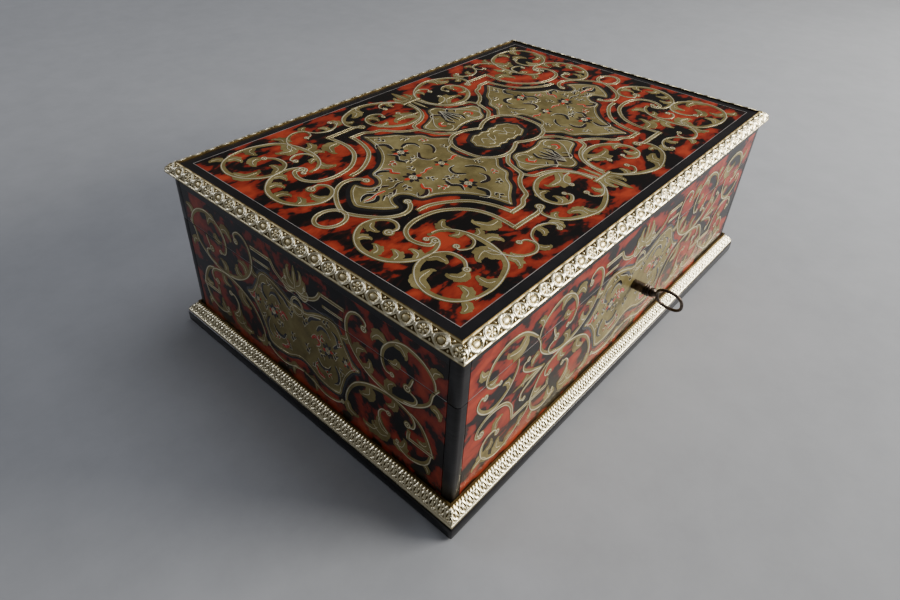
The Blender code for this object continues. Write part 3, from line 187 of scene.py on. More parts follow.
@dataclass(frozen=True)
class Tortoiseshell(Finish):
    """Turtle shell over red foil, French polished: dark clouds with ragged edges float in a glossy red."""

    cloud: float = 15 * MM
    fleck: float = 2.6 * MM  # the ragged edge of a cloud
    ripple: float = 9 * MM  # the waves of the polish, and how deep they are
    ripple_depth: float = 0.05 * MM
    dark_share: float = 0.5

    def dress(self, tree: bpy.types.NodeTree, shader: bpy.types.Node) -> None:
        """Red ground, dark clouds drawn out along the shell, and a ripple in the polish.

        Args:
            tree: the material's nodes.
            shader: its shader.
        """
        clouds = self.noise(tree, self.cloud, (1.5, 0.9, 0.9), detail=3.5, roughness=0.55, distortion=0.35)
        flecks = self.noise(tree, self.fleck, (2.2, 1, 1), detail=3, roughness=0.6)
        ragged = add_node(
            tree, "ShaderNodeMath", {0: flecks, 1: 0.11, 2: clouds}, operation="MULTIPLY_ADD"
        ).outputs[0]
        edge = self.dark_share + 0.06
        ramp = add_node(
            tree,
            "ShaderNodeValToRGB",
            {"Fac": ragged},
            [
                (edge - 0.06, self.colours[0]),
                (edge - 0.012, self.colours[1]),
                (edge + 0.012, self.colours[2]),
                (edge + 0.16, self.colours[3]),
            ],
        )
        ripple = self.noise(tree, self.ripple, detail=2)
        waves = add_node(tree, "ShaderNodeBump", {"Height": ripple, "Strength": 1.0, "Distance": self.ripple_depth})
        feed(tree, shader, {"Base Color": ramp.outputs[0], "Normal": waves.outputs[0]})


@dataclass(frozen=True)
class RolledMetal(Finish):
    """Metal with fine wear: tone drifts over it, and hairlines roughen it."""

    drift: float = 12 * MM
    hairline: float = 0.6 * MM
    hairline_depth: float = 0.01 * MM
    stretch: tuple[float, float, float] = (3, 1, 1)

    def dress(self, tree: bpy.types.NodeTree, shader: bpy.types.Node) -> None:
        """Drifting tone, and hairlines.

        Args:
            tree: the material's nodes.
            shader: its shader.
        """
        tone = self.noise(tree, self.drift, detail=4, roughness=0.6)
        last = len(self.colours) - 1
        ramp = add_node(
            tree,
            "ShaderNodeValToRGB",
            {"Fac": tone},
            [(0.32 + 0.36 * i / last, code) for i, code in enumerate(self.colours)],
        )
        hairs = self.noise(tree, self.hairline, self.stretch, detail=2, roughness=0.7)
        rough = add_node(
            tree,
            "ShaderNodeMapRange",
            {"Value": hairs, "To Min": self.roughness - 0.08, "To Max": self.roughness + 0.1},
        )
        depth = self.hairline_depth
        lines = add_node(tree, "ShaderNodeBump", {"Height": hairs, "Strength": 1.0, "Distance": depth})
        sockets = {"Base Color": ramp.outputs[0], "Roughness": rough.outputs[0], "Normal": lines.outputs[0]}
        feed(tree, shader, sockets)


@dataclass(frozen=True)
class StampedBrass(Finish):
    """Thin sheet brass stamped in relief and gilt: pale on its heights as a painted highlight, brown in its hollows
    from dirt and painted shade.
    """

    dirt: float = 0.35
    patch: float = 7 * MM  # how large the dirty places are

    def dress(self, tree: bpy.types.NodeTree, shader: bpy.types.Node) -> None:
        """Colour follows the relief, which each point carries as a value from 0 to 1: a painted highlight on the
        heights, dirt and painted shade in the hollows, shifted by random dirty patches.

        Args:
            tree: the material's nodes.
            shader: its shader.
        """
        relief = add_node(tree, "ShaderNodeAttribute", attribute_name="relief").outputs["Fac"]
        dirt = self.noise(tree, self.patch, detail=4, roughness=0.65)
        level = add_node(
            tree, "ShaderNodeMath", {0: dirt, 1: self.dirt, 2: relief}, operation="MULTIPLY_ADD"
        ).outputs[0]
        ramp = add_node(
            tree,
            "ShaderNodeValToRGB",
            {"Fac": level},
            [(0.2 + 0.6 * i / 3, code) for i, code in enumerate(self.colours)],
        )
        rough = add_node(
            tree,
            "ShaderNodeMapRange",
            {"Value": level, "From Min": 0.2, "From Max": 0.9, "To Min": 0.6, "To Max": self.roughness},
        )
        feed(tree, shader, {"Base Color": ramp.outputs[0], "Roughness": rough.outputs[0]})


@dataclass(frozen=True)
class Wood(Finish):
    """Planed timber: grain lines run along one axis, with pores between them."""

    grain: float = 1.4 * MM
    along: tuple[float, float, float] = (14, 1, 1)
    pore_depth: float = 0.03 * MM

    def dress(self, tree: bpy.types.NodeTree, shader: bpy.types.Node) -> None:
        """Grain and pores.

        Args:
            tree: the material's nodes.
            shader: its shader.
        """
        broad = self.noise(tree, self.grain * 5, self.along, detail=3, roughness=0.55, distortion=0.4)
        fine = self.noise(tree, self.grain, self.along, detail=4, roughness=0.7)
        mixed = add_node(
            tree, "ShaderNodeMath", {0: broad, 1: 0.6, 2: fine}, operation="MULTIPLY_ADD"
        ).outputs[0]
        last = len(self.colours) - 1
        ramp = add_node(
            tree,
            "ShaderNodeValToRGB",
            {"Fac": mixed},
            [(0.6 + 0.4 * i / last, code) for i, code in enumerate(self.colours)],
        )
        pores = add_node(tree, "ShaderNodeBump", {"Height": fine, "Strength": 1.0, "Distance": self.pore_depth})
        feed(tree, shader, {"Base Color": ramp.outputs[0], "Normal": pores.outputs[0]})


@dataclass(frozen=True)
class ClearGlass(Finish):
    """Sheet glass: clear, with a green cast."""

    solid_share: float = 0.3  # the rest lets the light straight through, so that the movement shows
    wave: float = 40 * MM
    wave_depth: float = 0.02 * MM

    def dress(self, tree: bpy.types.NodeTree, shader: bpy.types.Node) -> None:
        """Full transmission, and a very slow wave in its surface.

        Args:
            tree: the material's nodes.
            shader: its shader.
        """
        wave = self.noise(tree, self.wave)
        bump = add_node(tree, "ShaderNodeBump", {"Height": wave, "Strength": 1.0, "Distance": self.wave_depth})
        feed(tree, shader, {"Transmission Weight": 1.0, "Alpha": self.solid_share, "Normal": bump.outputs[0]})


# Red shell sits over a painted ground that glows through it; its clouds are nearly black.
SHELL = Tortoiseshell(
    "tortoiseshell_french_polished",
    "shell_and_brass_marquetry",
    ("#0C0807", "#2C100B", "#7A2013", "#A83C22"),
    0.3,
    ior=1.38,
    coat=0.08,
    coat_roughness=0.12,
)
# Shell with no foil under it, cut small and let into the brass: a glossy black.
BLACK_SHELL = Tortoiseshell(
    "tortoiseshell_black_inlay",
    "shell_and_brass_marquetry",
    ("#0E0B0D", "#131012", "#1B1516", "#2A1614"),
    0.22,
    ior=1.54,
    coat=0.5,
)
# The same over red foil: small glints of a clearer red, as little of it is clouded.
RED_SHELL = Tortoiseshell(
    "tortoiseshell_red_inlay",
    "shell_and_brass_marquetry",
    ("#4A120C", "#7A1C10", "#A12A16", "#BB3A20"),
    0.22,
    ior=1.54,
    coat=0.5,
    dark_share=0.3,
)
# Cut sheet brass, rubbed level with the shell: dull khaki, because it lies under old polish.
INLAY = RolledMetal(
    "sheet_brass_sawn_inlay",
    "shell_and_brass_marquetry",
    ("#7B6E42", "#948654", "#AB9E6A"),
    0.38,
    metallic=0.5,
)
# The graver's cuts catch the light: these lines are coloured pale brass, a painted highlight of that glint along each
# cut.
ENGRAVED_HIGHLIGHT = RolledMetal(
    "sheet_brass_graver_cut_painted_highlight",
    "shell_and_brass_marquetry",
    ("#D8D0AC", "#F4F0DA"),
    0.3,
    metallic=0.5,
    hairline_depth=0.004 * MM,
)
# Pear wood dyed black and polished: a deep gloss black.
EBONISED = Wood(
    "pear_ebonised_french_polished",
    "ebonised_wood",
    ("#0E0D0E", "#171517", "#211F20"),
    0.32,
    ior=1.42,
    coat=0.1,
    along=(16, 16, 1),
    pore_depth=0.01 * MM,
)
# Edges of the polish worn through along the joint: a thin pale line.
WORN_EDGE = RolledMetal("polish_worn_edge", "ebonised_wood", ("#6E6A68", "#A39F9C"), 0.5)
# Thin brass pressed in a die and gilt: pale gold on the heights as a painted highlight, brown in the hollows from
# dirt and painted shade.
MOULDING = StampedBrass(
    "sheet_brass_stamped_gilt",
    "gilt_brass_moulding",
    ("#2A1E10", "#7C6738", "#CDBE8E", "#F3EAC9"),
    0.28,
    metallic=0.85,
)
# Plain carcase wood, waxed: mid brown, with its grain along each board.
OAK = Wood("oak_planed_waxed", "carcase_oak", ("#4A2E1A", "#6B4527", "#8A5F38"), 0.5, coat=0.1)
# The same, for boards that run from front to back.
OAK_ACROSS = replace(OAK, name="oak_planed_waxed_across", along=(1, 14, 1))
# Turned and lacquered: warm yellow, with fine lathe lines.
BRASS = RolledMetal(
    "brass_turned_lacquered",
    "movement_brass",
    ("#B08A45", "#C49C54"),
    0.24,
    metallic=1.0,
    hairline_depth=0.002 * MM,
    stretch=(1, 6, 6),
)
# Ground and polished: cool grey, nearly a mirror.
STEEL = RolledMetal(
    "steel_polished",
    "polished_steel",
    ("#9A9DA2", "#B4B6BA"),
    0.2,
    metallic=1.0,
    hairline_depth=0.002 * MM,
)
# Forged and left to darken in the hand: brown, with a dull shine.
KEY_STEEL = RolledMetal(
    "steel_forged_patinated",
    "patinated_key_steel",
    ("#2A2420", "#4A4038", "#6B5F54"),
    0.34,
    metallic=0.95,
    drift=4 * MM,
    hairline_depth=0.03 * MM,
)
# Sand cast and bronzed: a rough, dull brown.
IRON = RolledMetal(
    "iron_cast_bronzed",
    "cast_iron_bed",
    ("#4E402A", "#65543A"),
    0.5,
    metallic=0.7,
    hairline=0.9 * MM,
    hairline_depth=0.08 * MM,
    stretch=(1, 1, 1),
)
# Drawn glass, cut to size: clear, with soft reflections.
GLASS = ClearGlass("glass_drawn_sheet", "clear_glass", ("#EEF5F1",), 0.03, ior=1.5)
# Matt paper: an even grey that takes soft shadows.
FLOOR = Wood("backdrop_paper", None, ("#9DA0A4", "#A4A7AB"), 0.8, grain=30 * MM, along=(1, 1, 1))


# ------------------------------------------------------------------ shapes


class Shapes:
    """Closed shapes gathered into one mesh."""

    def __init__(self) -> None:
        """Starts empty."""
        self.points: list[np.ndarray] = []
        self.faces: list[tuple[int, ...]] = []
        self.relief: list[np.ndarray] = []
        self.count = 0

    def add(self, points: np.ndarray, faces: Iterable[Sequence[int]], relief: np.ndarray | None = None) -> None:
        """Adds a shape.

        Args:
            points: its corners, one row each.
            faces: the corners of each face.
            relief: each corner's height from 0 to 1, for a stamped shape.
        """
        points = np.asarray(points, float).reshape(-1, 3)
        self.faces += [tuple(i + self.count for i in face) for face in faces]
        self.points.append(points)
        self.relief.append(np.ones(len(points)) if relief is None else relief.reshape(-1))
        self.count += len(points)

    def loft(self, rings: np.ndarray, closed: bool = False, relief: np.ndarray | None = None) -> None:
        """Adds a skin over rings of corners.

        Args:
            rings: an array of rings, each an array of corners.
            closed: whether the last ring joins the first; otherwise both ends are capped.
            relief: each corner's height from 0 to 1.
        """
        count, sides = rings.shape[:2]
        faces = []
        for i in range(count if closed else count - 1):
            a, b = i * sides, ((i + 1) % count) * sides
            faces += [(a + k, a + (k + 1) % sides, b + (k + 1) % sides, b + k) for k in range(sides)]
        if not closed:
            faces += [tuple(range(sides)), tuple(range((count - 1) * sides, count * sides))]
        self.add(rings, faces, relief)

    def slab(self, outline: np.ndarray, low: float, high: float) -> None:
        """Adds a flat outline, thickened.

        Args:
            outline: its corners, one row each.
            low: the height of its underside.
            high: the height of its top.
        """
        count = len(outline)
        bottom = np.column_stack([outline, np.full(count, low)])
        top = np.column_stack([outline, np.full(count, high)])
        cover = tessellate_polygon([[Vector((x, y, 0)) for x, y in outline]])
        faces = [(i, (i + 1) % count, (i + 1) % count + count, i + count) for i in range(count)]
        faces += [tuple(face) for face in cover]
        faces += [tuple(i + count for i in face) for face in cover]
        self.add(np.vstack([bottom, top]), faces)

    def turned(self, profile: Sequence[Point], start: Vector, axis: Vector, sides: int = 32) -> None:
        """Adds a shape turned on a lathe.

        Args:
            profile: radius and distance along the axis, from one end to the other.
            start: where the axis starts.
            axis: its direction.
            sides: how many corners a ring has.
        """
        turn = np.array(Vector(axis).to_track_quat("Z", "Y").to_matrix())
        angles = np.arange(sides) * 2 * math.pi / sides
        rings = np.array(
            [
                [(max(r, 1e-6) * math.cos(a), max(r, 1e-6) * math.sin(a), d) for a in angles]
                for r, d in profile
            ]
        )
        self.loft(rings @ turn.T + np.array(start))

    def tube(self, path: np.ndarray, radius: float | np.ndarray, sides: int = 12, closed: bool = False) -> None:
        """Adds a round wire along a path.

        Args:
            path: the points it follows.
            radius: its radius, or one for each point.
            sides: how many corners a ring has.
            closed: whether the path joins up.
        """
        count = len(path)
        radius = np.broadcast_to(radius, count)
        along = np.roll(path, -1, 0) - np.roll(path, 1, 0)
        if not closed:
            along[0], along[-1] = path[1] - path[0], path[-1] - path[-2]
        along /= np.linalg.norm(along, axis=1)[:, None]
        side = np.cross(along[0], (0.3, 0.2, 0.93))
        rings = []
        for i in range(count):
            side = side - along[i] * (side @ along[i])
            side /= np.linalg.norm(side)
            other = np.cross(along[i], side)
            angles = np.arange(sides) * 2 * math.pi / sides
            rings.append(path[i] + radius[i] * (np.outer(np.cos(angles), side) + np.outer(np.sin(angles), other)))
        self.loft(np.array(rings), closed)

    def block(self, low: Sequence[float], high: Sequence[float]) -> None:
        """Adds a box between two corners."""
        (x0, y0, z0), (x1, y1, z1) = low, high
        self.loft(np.array([[(x0, y0, z), (x1, y0, z), (x1, y1, z), (x0, y1, z)] for z in (z0, z1)]))

    def screw(self, head: Vector, axis: Vector, radius: float, height: float, turn: float = 0.0) -> None:
        """Adds the slotted head of a screw.

        Args:
            head: the middle of its seat.
            axis: which way it faces.
            radius: of the head.
            height: how far it stands out.
            turn: the slot's direction, in degrees.
        """
        local = Shapes()
        angles = np.arange(20) * math.pi / 10
        disc = np.column_stack([np.cos(angles), np.sin(angles)]) * radius
        # each outline's share of the radius and height, from its seat up
        solids = [(disc, ((1, -0.3 * MM), (1, height * 0.35), (0.9, height * 0.5)))]
        gap = math.asin(0.16)  # half the slot's width, as a share of the radius
        half = np.linspace(gap, math.pi - gap, 9)
        for sign in (1, -1):
            cheek = np.column_stack([np.cos(half), sign * np.sin(half)]) * radius
            solids.append((cheek, ((0.98, height * 0.2), (0.96, height * 0.75), (0.8, height))))
        for outline, levels in solids:
            local.loft(np.array([[(*(p * k), z) for p in outline] for k, z in levels]))
        face = Vector(axis).to_track_quat("Z", "Y").to_matrix().to_4x4()
        place = Matrix.Translation(head) @ face @ Matrix.Rotation(math.radians(turn), 4, "Z")
        self.join(local.moved(np.array(place)))

    def moved(self, matrix: np.ndarray) -> "Shapes":
        """A moved copy.

        Args:
            matrix: the 4 by 4 matrix that carries it.

        Returns:
            The copy.
        """
        copy = Shapes()
        for points, relief in zip(self.points, self.relief):
            copy.points.append(points @ matrix[:3, :3].T + matrix[:3, 3])
            copy.relief.append(relief)
        copy.faces, copy.count = list(self.faces), self.count
        return copy

    def join(self, other: "Shapes") -> None:
        """Takes in another set of shapes.

        Args:
            other: the set.
        """
        self.faces += [tuple(i + self.count for i in face) for face in other.faces]
        self.points += other.points
        self.relief += other.relief
        self.count += other.count

    def piece(
        self,
        name: str,
        finish: Finish,
        body: str,
        crease: float = 35,
        keep: Point | None = None,
        ease: float = 0.0,
    ) -> bpy.types.Object | None:
        """Makes the object.

        Args:
            name: its name.
            finish: what it is made of.
            body: the body that it moves with.
            crease: the angle in degrees above which an edge stays sharp.
            keep: the heights that it is cut off below and above.
            ease: how far its edges are rounded, in metres.

        Returns:
            The object, or None if nothing is left of it.
        """
        if not self.count:
            return None
        mesh = bpy.data.meshes.new(name)
        mesh.from_pydata(np.vstack(self.points).tolist(), [], self.faces)
        values = mesh.attributes.new("relief", "FLOAT", "POINT")
        values.data.foreach_set("value", np.concatenate(self.relief).astype(np.float32))
        shape = bmesh.new()
        shape.from_mesh(mesh)
        if keep:
            for height, up in ((keep[0], -1), (keep[1], 1)):
                everything = shape.verts[:] + shape.edges[:] + shape.faces[:]
                bmesh.ops.bisect_plane(
                    shape, geom=everything, plane_co=(0, 0, height), plane_no=(0, 0, up), clear_outer=True
                )
                rims = [e for e in shape.edges if e.is_boundary]
                bmesh.ops.holes_fill(shape, edges=rims, sides=0)
        bmesh.ops.recalc_face_normals(shape, faces=shape.faces)
        shape.to_mesh(mesh)
        shape.free()
        if not mesh.polygons:
            return None
        mesh.shade_smooth()
        mesh.set_sharp_from_angle(angle=math.radians(crease))
        obj = bpy.data.objects.new(name, mesh)
        bpy.context.scene.collection.objects.link(obj)
        mesh.materials.append(finish.material())
        if ease:
            bevel = obj.modifiers.new("eased", "BEVEL")
            bevel.width, bevel.segments, bevel.limit_method = ease, 2, "ANGLE"
        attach(obj, body)
        log.info("%s: %d faces, on %s", name, len(mesh.polygons), body)
        return obj


def smooth_line(points: Sequence[Point], step: float, closed: bool = False) -> np.ndarray:
    """A smooth line through points.

    Args:
        points: what it goes through.
        step: about how far apart its samples are.
        closed: whether it joins up.

    Returns:
        The samples, one row each.
    """
    knots = np.array(points, float)
    if closed:
        knots = np.vstack([knots[-1:], knots, knots[:2]])
    else:
        knots = np.vstack([2 * knots[0] - knots[1], knots, 2 * knots[-1] - knots[-2]])
    samples = []
    for p0, p1, p2, p3 in zip(knots, knots[1:], knots[2:], knots[3:]):
        count = max(2, math.ceil(np.linalg.norm(p2 - p1) / step))
        t = (np.arange(count) / count)[:, None]
        samples.append(
            0.5 * (2 * p1 + (p2 - p0) * t + (2 * p0 - 5 * p1 + 4 * p2 - p3) * t**2
                   + (3 * p1 - p0 - 3 * p2 + p3) * t**3)
        )
    if not closed:
        samples.append(knots[-2:-1])
    return np.vstack(samples)


def normals_of(line: np.ndarray, closed: bool = False) -> np.ndarray:
    """The directions square to a flat line, on its left.

    Args:
        line: its points, one row each.
        closed: whether it joins up.

    Returns:
        A unit direction for each point.
    """
    along = np.roll(line, -1, 0) - np.roll(line, 1, 0)
    if not closed:
        along[0], along[-1] = line[1] - line[0], line[-1] - line[-2]
    along /= np.linalg.norm(along, axis=1)[:, None] + 1e-12
    return np.column_stack([-along[:, 1], along[:, 0]])


UP = (0, 0, 1)
# which way each side runs, from its left as it is faced, and which way it faces
SIDES = {
    "front": ((1, 0, 0), (0, -1, 0)),
    "right": ((0, 1, 0), (1, 0, 0)),
    "back": ((-1, 0, 0), (0, 1, 0)),
    "left": ((0, -1, 0), (-1, 0, 0)),
}
LONG_SIDES = ("front", "back")


def on_side(side: str, second: Sequence[float], third: Sequence[float]) -> np.ndarray:
    """Where a drawing lies on a side of the casket.

    Args:
        side: the side's name; the drawing's first axis runs along it.
        second: the direction of the drawing's second axis.
        third: the direction of its third.

    Returns:
        The matrix from the drawing, in millimetres, to the middle of the side's face.
    """
    across, out = SIDES[side]
    low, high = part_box(f"case_marquetry_{side}")
    place = np.eye(4)
    for column, axis in enumerate((across, second, third)):
        place[:3, column] = np.array(axis) * MM
    place[:3, 3] = [end if o > 0 else start if o < 0 else 0 for start, end, o in zip(low, high, out)]
    return place


# --------------------------------------------------------------- marquetry


class Form(Enum):
    """How the width of a cut shape runs along it."""

    STRAP = "even"
    SCROLL = "thin at both ends"
    LEAF = "full near its foot and pointed"


class Layer(Enum):
    """Which sheet a shape of the marquetry is cut from."""
    # pale engraved lines, coloured as a painted highlight

    BRASS = "brass"
    LINE = "line"
    BLACK = "black"
    RED = "red"
    GROUND = "ground"


@dataclass(frozen=True)
class Stroke:
    """A shape sawn along a smooth line. Points, widths and radii are in millimetres."""

    points: tuple[Point, ...]
    width: float = 2.6
    form: Form = Form.STRAP
    start_ball: float = 0.0
    end_ball: float = 0.0
    layer: Layer = Layer.BRASS
    closed: bool = False
    lines: bool = True

    def widths(self, count: int) -> np.ndarray:
        """Half the width along the line.

        Args:
            count: at how many places.

        Returns:
            Half the width at each.
        """
        t = np.linspace(0, 1, count)
        if self.form is Form.STRAP:
            share = np.ones(count)
        elif self.form is Form.SCROLL:
            share = 0.5 + 0.5 * np.sin(math.pi * t) ** 0.8
        else:
            share = 0.08 + 0.92 * np.sin(math.pi * (0.06 + 0.94 * t) ** 0.72) ** 0.8
        return self.width / 2 * share


class Sheet:
    """One sheet of marquetry, drawn flat in millimetres, before it is laid on a face of the casket."""

    STEP = 0.9  # between the samples of a sawn line
    LINE_WIDTH = 0.42
    ROOT = -0.25  # where the cut shapes end, inside the shell
    LEVELS = {Layer.GROUND: 0.01, Layer.BRASS: 0.07, Layer.BLACK: 0.135, Layer.RED: 0.135, Layer.LINE: 0.19}

    def __init__(self) -> None:
        """Starts with nothing cut."""
        self.layers = {layer: Shapes() for layer in Layer}
        self.drawn = 0

    def lift(self, layer: Layer) -> float:
        """The height of the next shape; each one differs a little, so that no two faces lie in one plane.

        Args:
            layer: the sheet that it is cut from.

        Returns:
            How far its top stands above the shell.
        """
        self.drawn += 1
        step = 0.001 if layer is Layer.GROUND else 0.004
        return self.LEVELS[layer] + step * (self.drawn % 12)

    def ribbon(
        self, line: np.ndarray, half: np.ndarray, layer: Layer, closed: bool = False, crown: float = 0.03
    ) -> None:
        """Cuts a ribbon.

        Args:
            line: its middle line.
            half: half its width at each point.
            layer: the sheet that it is cut from.
            closed: whether it joins up.
            crown: how far its middle stands above its edges.
        """
        side = normals_of(line, closed) * half[:, None]
        top = self.lift(layer)
        heights = (self.ROOT, top, top + crown, top, self.ROOT)
        places = (1, 1, 0, -1, -1)
        rings = np.array(
            [[(*(p + s * k), h) for k, h in zip(places, heights)] for p, s in zip(line, side)]
        )
        self.layers[layer].loft(rings, closed)

    def line(self, path: np.ndarray, closed: bool = False, width: float | None = None) -> None:
        """Engraves a line: a thin pale strip, its colour a painted highlight of the light caught in the cut."""
        if len(path) > 2:
            self.ribbon(path, np.full(len(path), (width or self.LINE_WIDTH) / 2), Layer.LINE, closed, 0.02)

    @staticmethod
    def outward(path: np.ndarray) -> float:
        """Which side of a path is its outer one.

        Args:
            path: its points, one row each.

        Returns:
            1 for the left, or -1.
        """
        step = np.diff(path, axis=0)
        turning = np.sum(step[:-1, 0] * step[1:, 1] - step[:-1, 1] * step[1:, 0])
        return -1.0 if turning > 0 else 1.0

    def ball(self, centre: np.ndarray, radius: float, layer: Layer, lines: bool) -> None:
        """Cuts the round end of a scroll.

        Args:
            centre: its middle.
            radius: its radius.
            layer: the sheet that it is cut from.
            lines: whether a ring and an eye are engraved in it, if it is large enough.
        """
        angles = np.arange(18) * math.pi / 9
        rim = np.column_stack([np.cos(angles), np.sin(angles)])
        self.layers[layer].slab(centre + rim * radius, self.ROOT, self.lift(layer) + 0.02)
        if lines and radius > 1.2:
            self.line(centre + rim * radius * 0.66, closed=True)
            self.layers[Layer.LINE].slab(centre + rim * radius * 0.2, self.ROOT, self.lift(Layer.LINE))

    def stroke(self, stroke: Stroke) -> None:
        """Cuts a stroke, and engraves it.

        Args:
            stroke: what is cut.
        """
        path = smooth_line(stroke.points, self.STEP, stroke.closed)
        half = stroke.widths(len(path))
        self.ribbon(path, half, stroke.layer, stroke.closed)
        if stroke.lines and stroke.layer is Layer.BRASS:
            self.engrave(stroke, path, half)
        for centre, radius in ((path[0], stroke.start_ball), (path[-1], stroke.end_ball)):
            if radius:
                self.ball(centre, radius, stroke.layer, stroke.lines)

    def engrave(self, stroke: Stroke, path: np.ndarray, half: np.ndarray) -> None:
        """Engraves a stroke: a leaf's rib, one line in a scroll's outer half, or a line by each edge of a strap; each
        line is pale, a painted highlight.

        Args:
            stroke: the stroke.
            path: its middle line.
            half: half its width at each point.
        """
        side = normals_of(path, stroke.closed)
        inner = slice(None) if stroke.closed else slice(1, -2)
        if stroke.form is Form.LEAF:
            self.line(path[2 : max(3, int(len(path) * 0.8))], width=0.32)
        elif stroke.form is Form.SCROLL:
            self.line((path + side * (half * 0.55 * self.outward(path))[:, None])[inner], stroke.closed, 0.5)
        else:
            for share in (-0.66, 0.66):
                self.line((path + side * (half * share)[:, None])[inner], stroke.closed, 0.3)

    def draw(self, strokes: Sequence[Stroke], leaves: Sequence[tuple[Point, Point, float, float, int]]) -> None:
        """Cuts strokes, then acanthus leaves.

        Args:
            strokes: the strokes.
            leaves: each leaf's foot, tip, width, bend and lobes.
        """
        for stroke in strokes:
            self.stroke(stroke)
        for leaf in leaves:
            self.acanthus(*leaf)

    def panel(
        self,
        outline: Sequence[Point],
        layer: Layer,
        inset: float = 0.0,
        smooth: bool = True,
        halo: float = 0.0,
    ) -> None:
        """Cuts a closed panel.

        Args:
            outline: what its edge goes through.
            layer: the sheet that it is cut from.
            inset: how far inside the edge a line is engraved.
            smooth: whether the edge curves between its points.
            halo: the width of the band of black shell left round it.
        """
        edge = smooth_line(outline, 1.2, closed=True) if smooth else np.array(outline, float)
        area = np.sum(edge[:, 0] * np.roll(edge[:, 1], -1) - np.roll(edge[:, 0], -1) * edge[:, 1])
        inward = normals_of(edge, True) * math.copysign(1, area)
        self.layers[layer].slab(edge, self.ROOT, self.lift(layer) - 0.02)
        if inset:
            self.line(edge + inward * inset, closed=True, width=0.36)
        if halo:
            half = np.full(len(edge), (halo + 0.6) / 2)
            self.ribbon(edge - inward * (halo / 2 - 0.3), half, Layer.GROUND, True, 0)

    def acanthus(self, foot: Point, tip: Point, width: float, bend: float, lobes: int = 3) -> None:
        """Cuts a curved leaf with lobes along its outer edge.

        Args:
            foot: where it grows from.
            tip: its point.
            width: its width in millimetres.
            bend: how far its middle stands off the straight line, as a share of its length; the sign picks
                the side.
            lobes: how many lobes it has.
        """
        a, b = np.array(foot, float), np.array(tip, float)
        run = b - a
        across = np.array([-run[1], run[0]])
        middle = (a + b) / 2 + across * bend
        out = across * math.copysign(1, bend)
        curl = b - out * 0.2 + run * 0.02
        self.stroke(Stroke((tuple(a), tuple(middle), tuple(b), tuple(curl)), width * 1.3, Form.LEAF))
        for i in range(lobes):
            t = 0.16 + 0.56 * i / max(1, lobes - 1)
            root = (1 - t) ** 2 * a + 2 * t * (1 - t) * (2 * middle - (a + b) / 2) + t**2 * b
            size = 1.2 - 0.45 * t
            hook = root + (run * 0.06 + out * 0.22) * size
            reach = root + (run * 0.24 + out * 0.3) * size
            self.stroke(Stroke((tuple(root), tuple(hook), tuple(reach)), width * 0.95, Form.LEAF, lines=False))

    def flower(self, centre: Point, radius: float, petals: int = 8) -> None:
        """Inlays a flower of dark petals round an engraved eye.

        Args:
            centre: its middle.
            radius: how far its petals reach.
            petals: how many it has; every fourth is red.
        """
        c = np.array(centre, float)
        for i in range(petals):
            angle = 2 * math.pi * i / petals + 0.2
            way = np.array([math.cos(angle), math.sin(angle)])
            self.stroke(
                Stroke(
                    (tuple(c + way * radius * 0.4), tuple(c + way * radius * 0.7), tuple(c + way * radius)),
                    radius * 0.42,
                    Form.LEAF,
                    layer=Layer.RED if i % 4 == 0 else Layer.BLACK,
                )
            )
        turns = np.arange(14) * math.pi / 7
        ring = np.column_stack([np.cos(turns), np.sin(turns)])
        self.line(c + ring * radius * 0.36, closed=True)
        self.line(c + ring * radius * 0.18, closed=True)

    def sprig(self, points: Sequence[Point], width: float = 1.5, layer: Layer = Layer.BLACK) -> None:
        """Inlays a curved leaf with an engraved line beside it.

        Args:
            points: what it goes through, from its foot.
            width: its width in millimetres.
            layer: which shell it is.
        """
        path = smooth_line(points, self.STEP)
        half = Stroke(tuple(points), width, Form.LEAF).widths(len(path))
        self.ribbon(path, half, layer)
        self.line(path + normals_of(path) * (half + 0.25)[:, None], width=0.36)

    def flourish(self, centre: Point, angle: float, size: float, layer: Layer = Layer.BLACK) -> None:
        """Cuts a small spray: a curved stem in the brass with three dark leaves.

        Args:
            centre: the middle of its stem.
            angle: the stem's direction in degrees.
            size: its length in millimetres.
            layer: which shell the leaves are.
        """
        turn = math.radians(angle)
        way = np.array((math.cos(turn), math.sin(turn)))
        side = np.array((-math.sin(turn), math.cos(turn)))
        c = np.array(centre, float)

        def at(u: float, v: float) -> Point:
            """The place u along the stem and v beside it, as shares of the size."""
            return tuple(c + way * u * size + side * v * size)

        stem = (at(-0.55, 0.12), at(-0.2, -0.1), at(0.15, 0.1), at(0.5, -0.05), at(0.55, -0.22))
        self.line(smooth_line(stem, 0.6), width=0.4)
        for u, v, lean in ((-0.3, 0.0, 0.34), (0.0, 0.02, -0.34), (0.25, 0.05, 0.3)):
            leaf = (at(u, v), at(u + 0.08, v + lean * 0.6), at(u + 0.22, v + lean))
            path = smooth_line(leaf, 0.6)
            half = Stroke(leaf, size * 0.2, Form.LEAF).widths(len(path))
            self.ribbon(path, half, layer)
            self.line(path + normals_of(path) * (half + 0.2)[:, None] * np.sign(lean), width=0.3)

    def mirrored(self, flips: Sequence[tuple[int, int]]) -> "Sheet":
        """This sheet, flipped.

        Args:
            flips: a sign for across and one for up, for each copy.

        Returns:
            A sheet that holds all the copies.
        """
        result = Sheet()
        for layer, shapes in self.layers.items():
            for across, up in flips:
                result.layers[layer].join(shapes.moved(np.diag([across, up, 1.0, 1.0])))
        return result

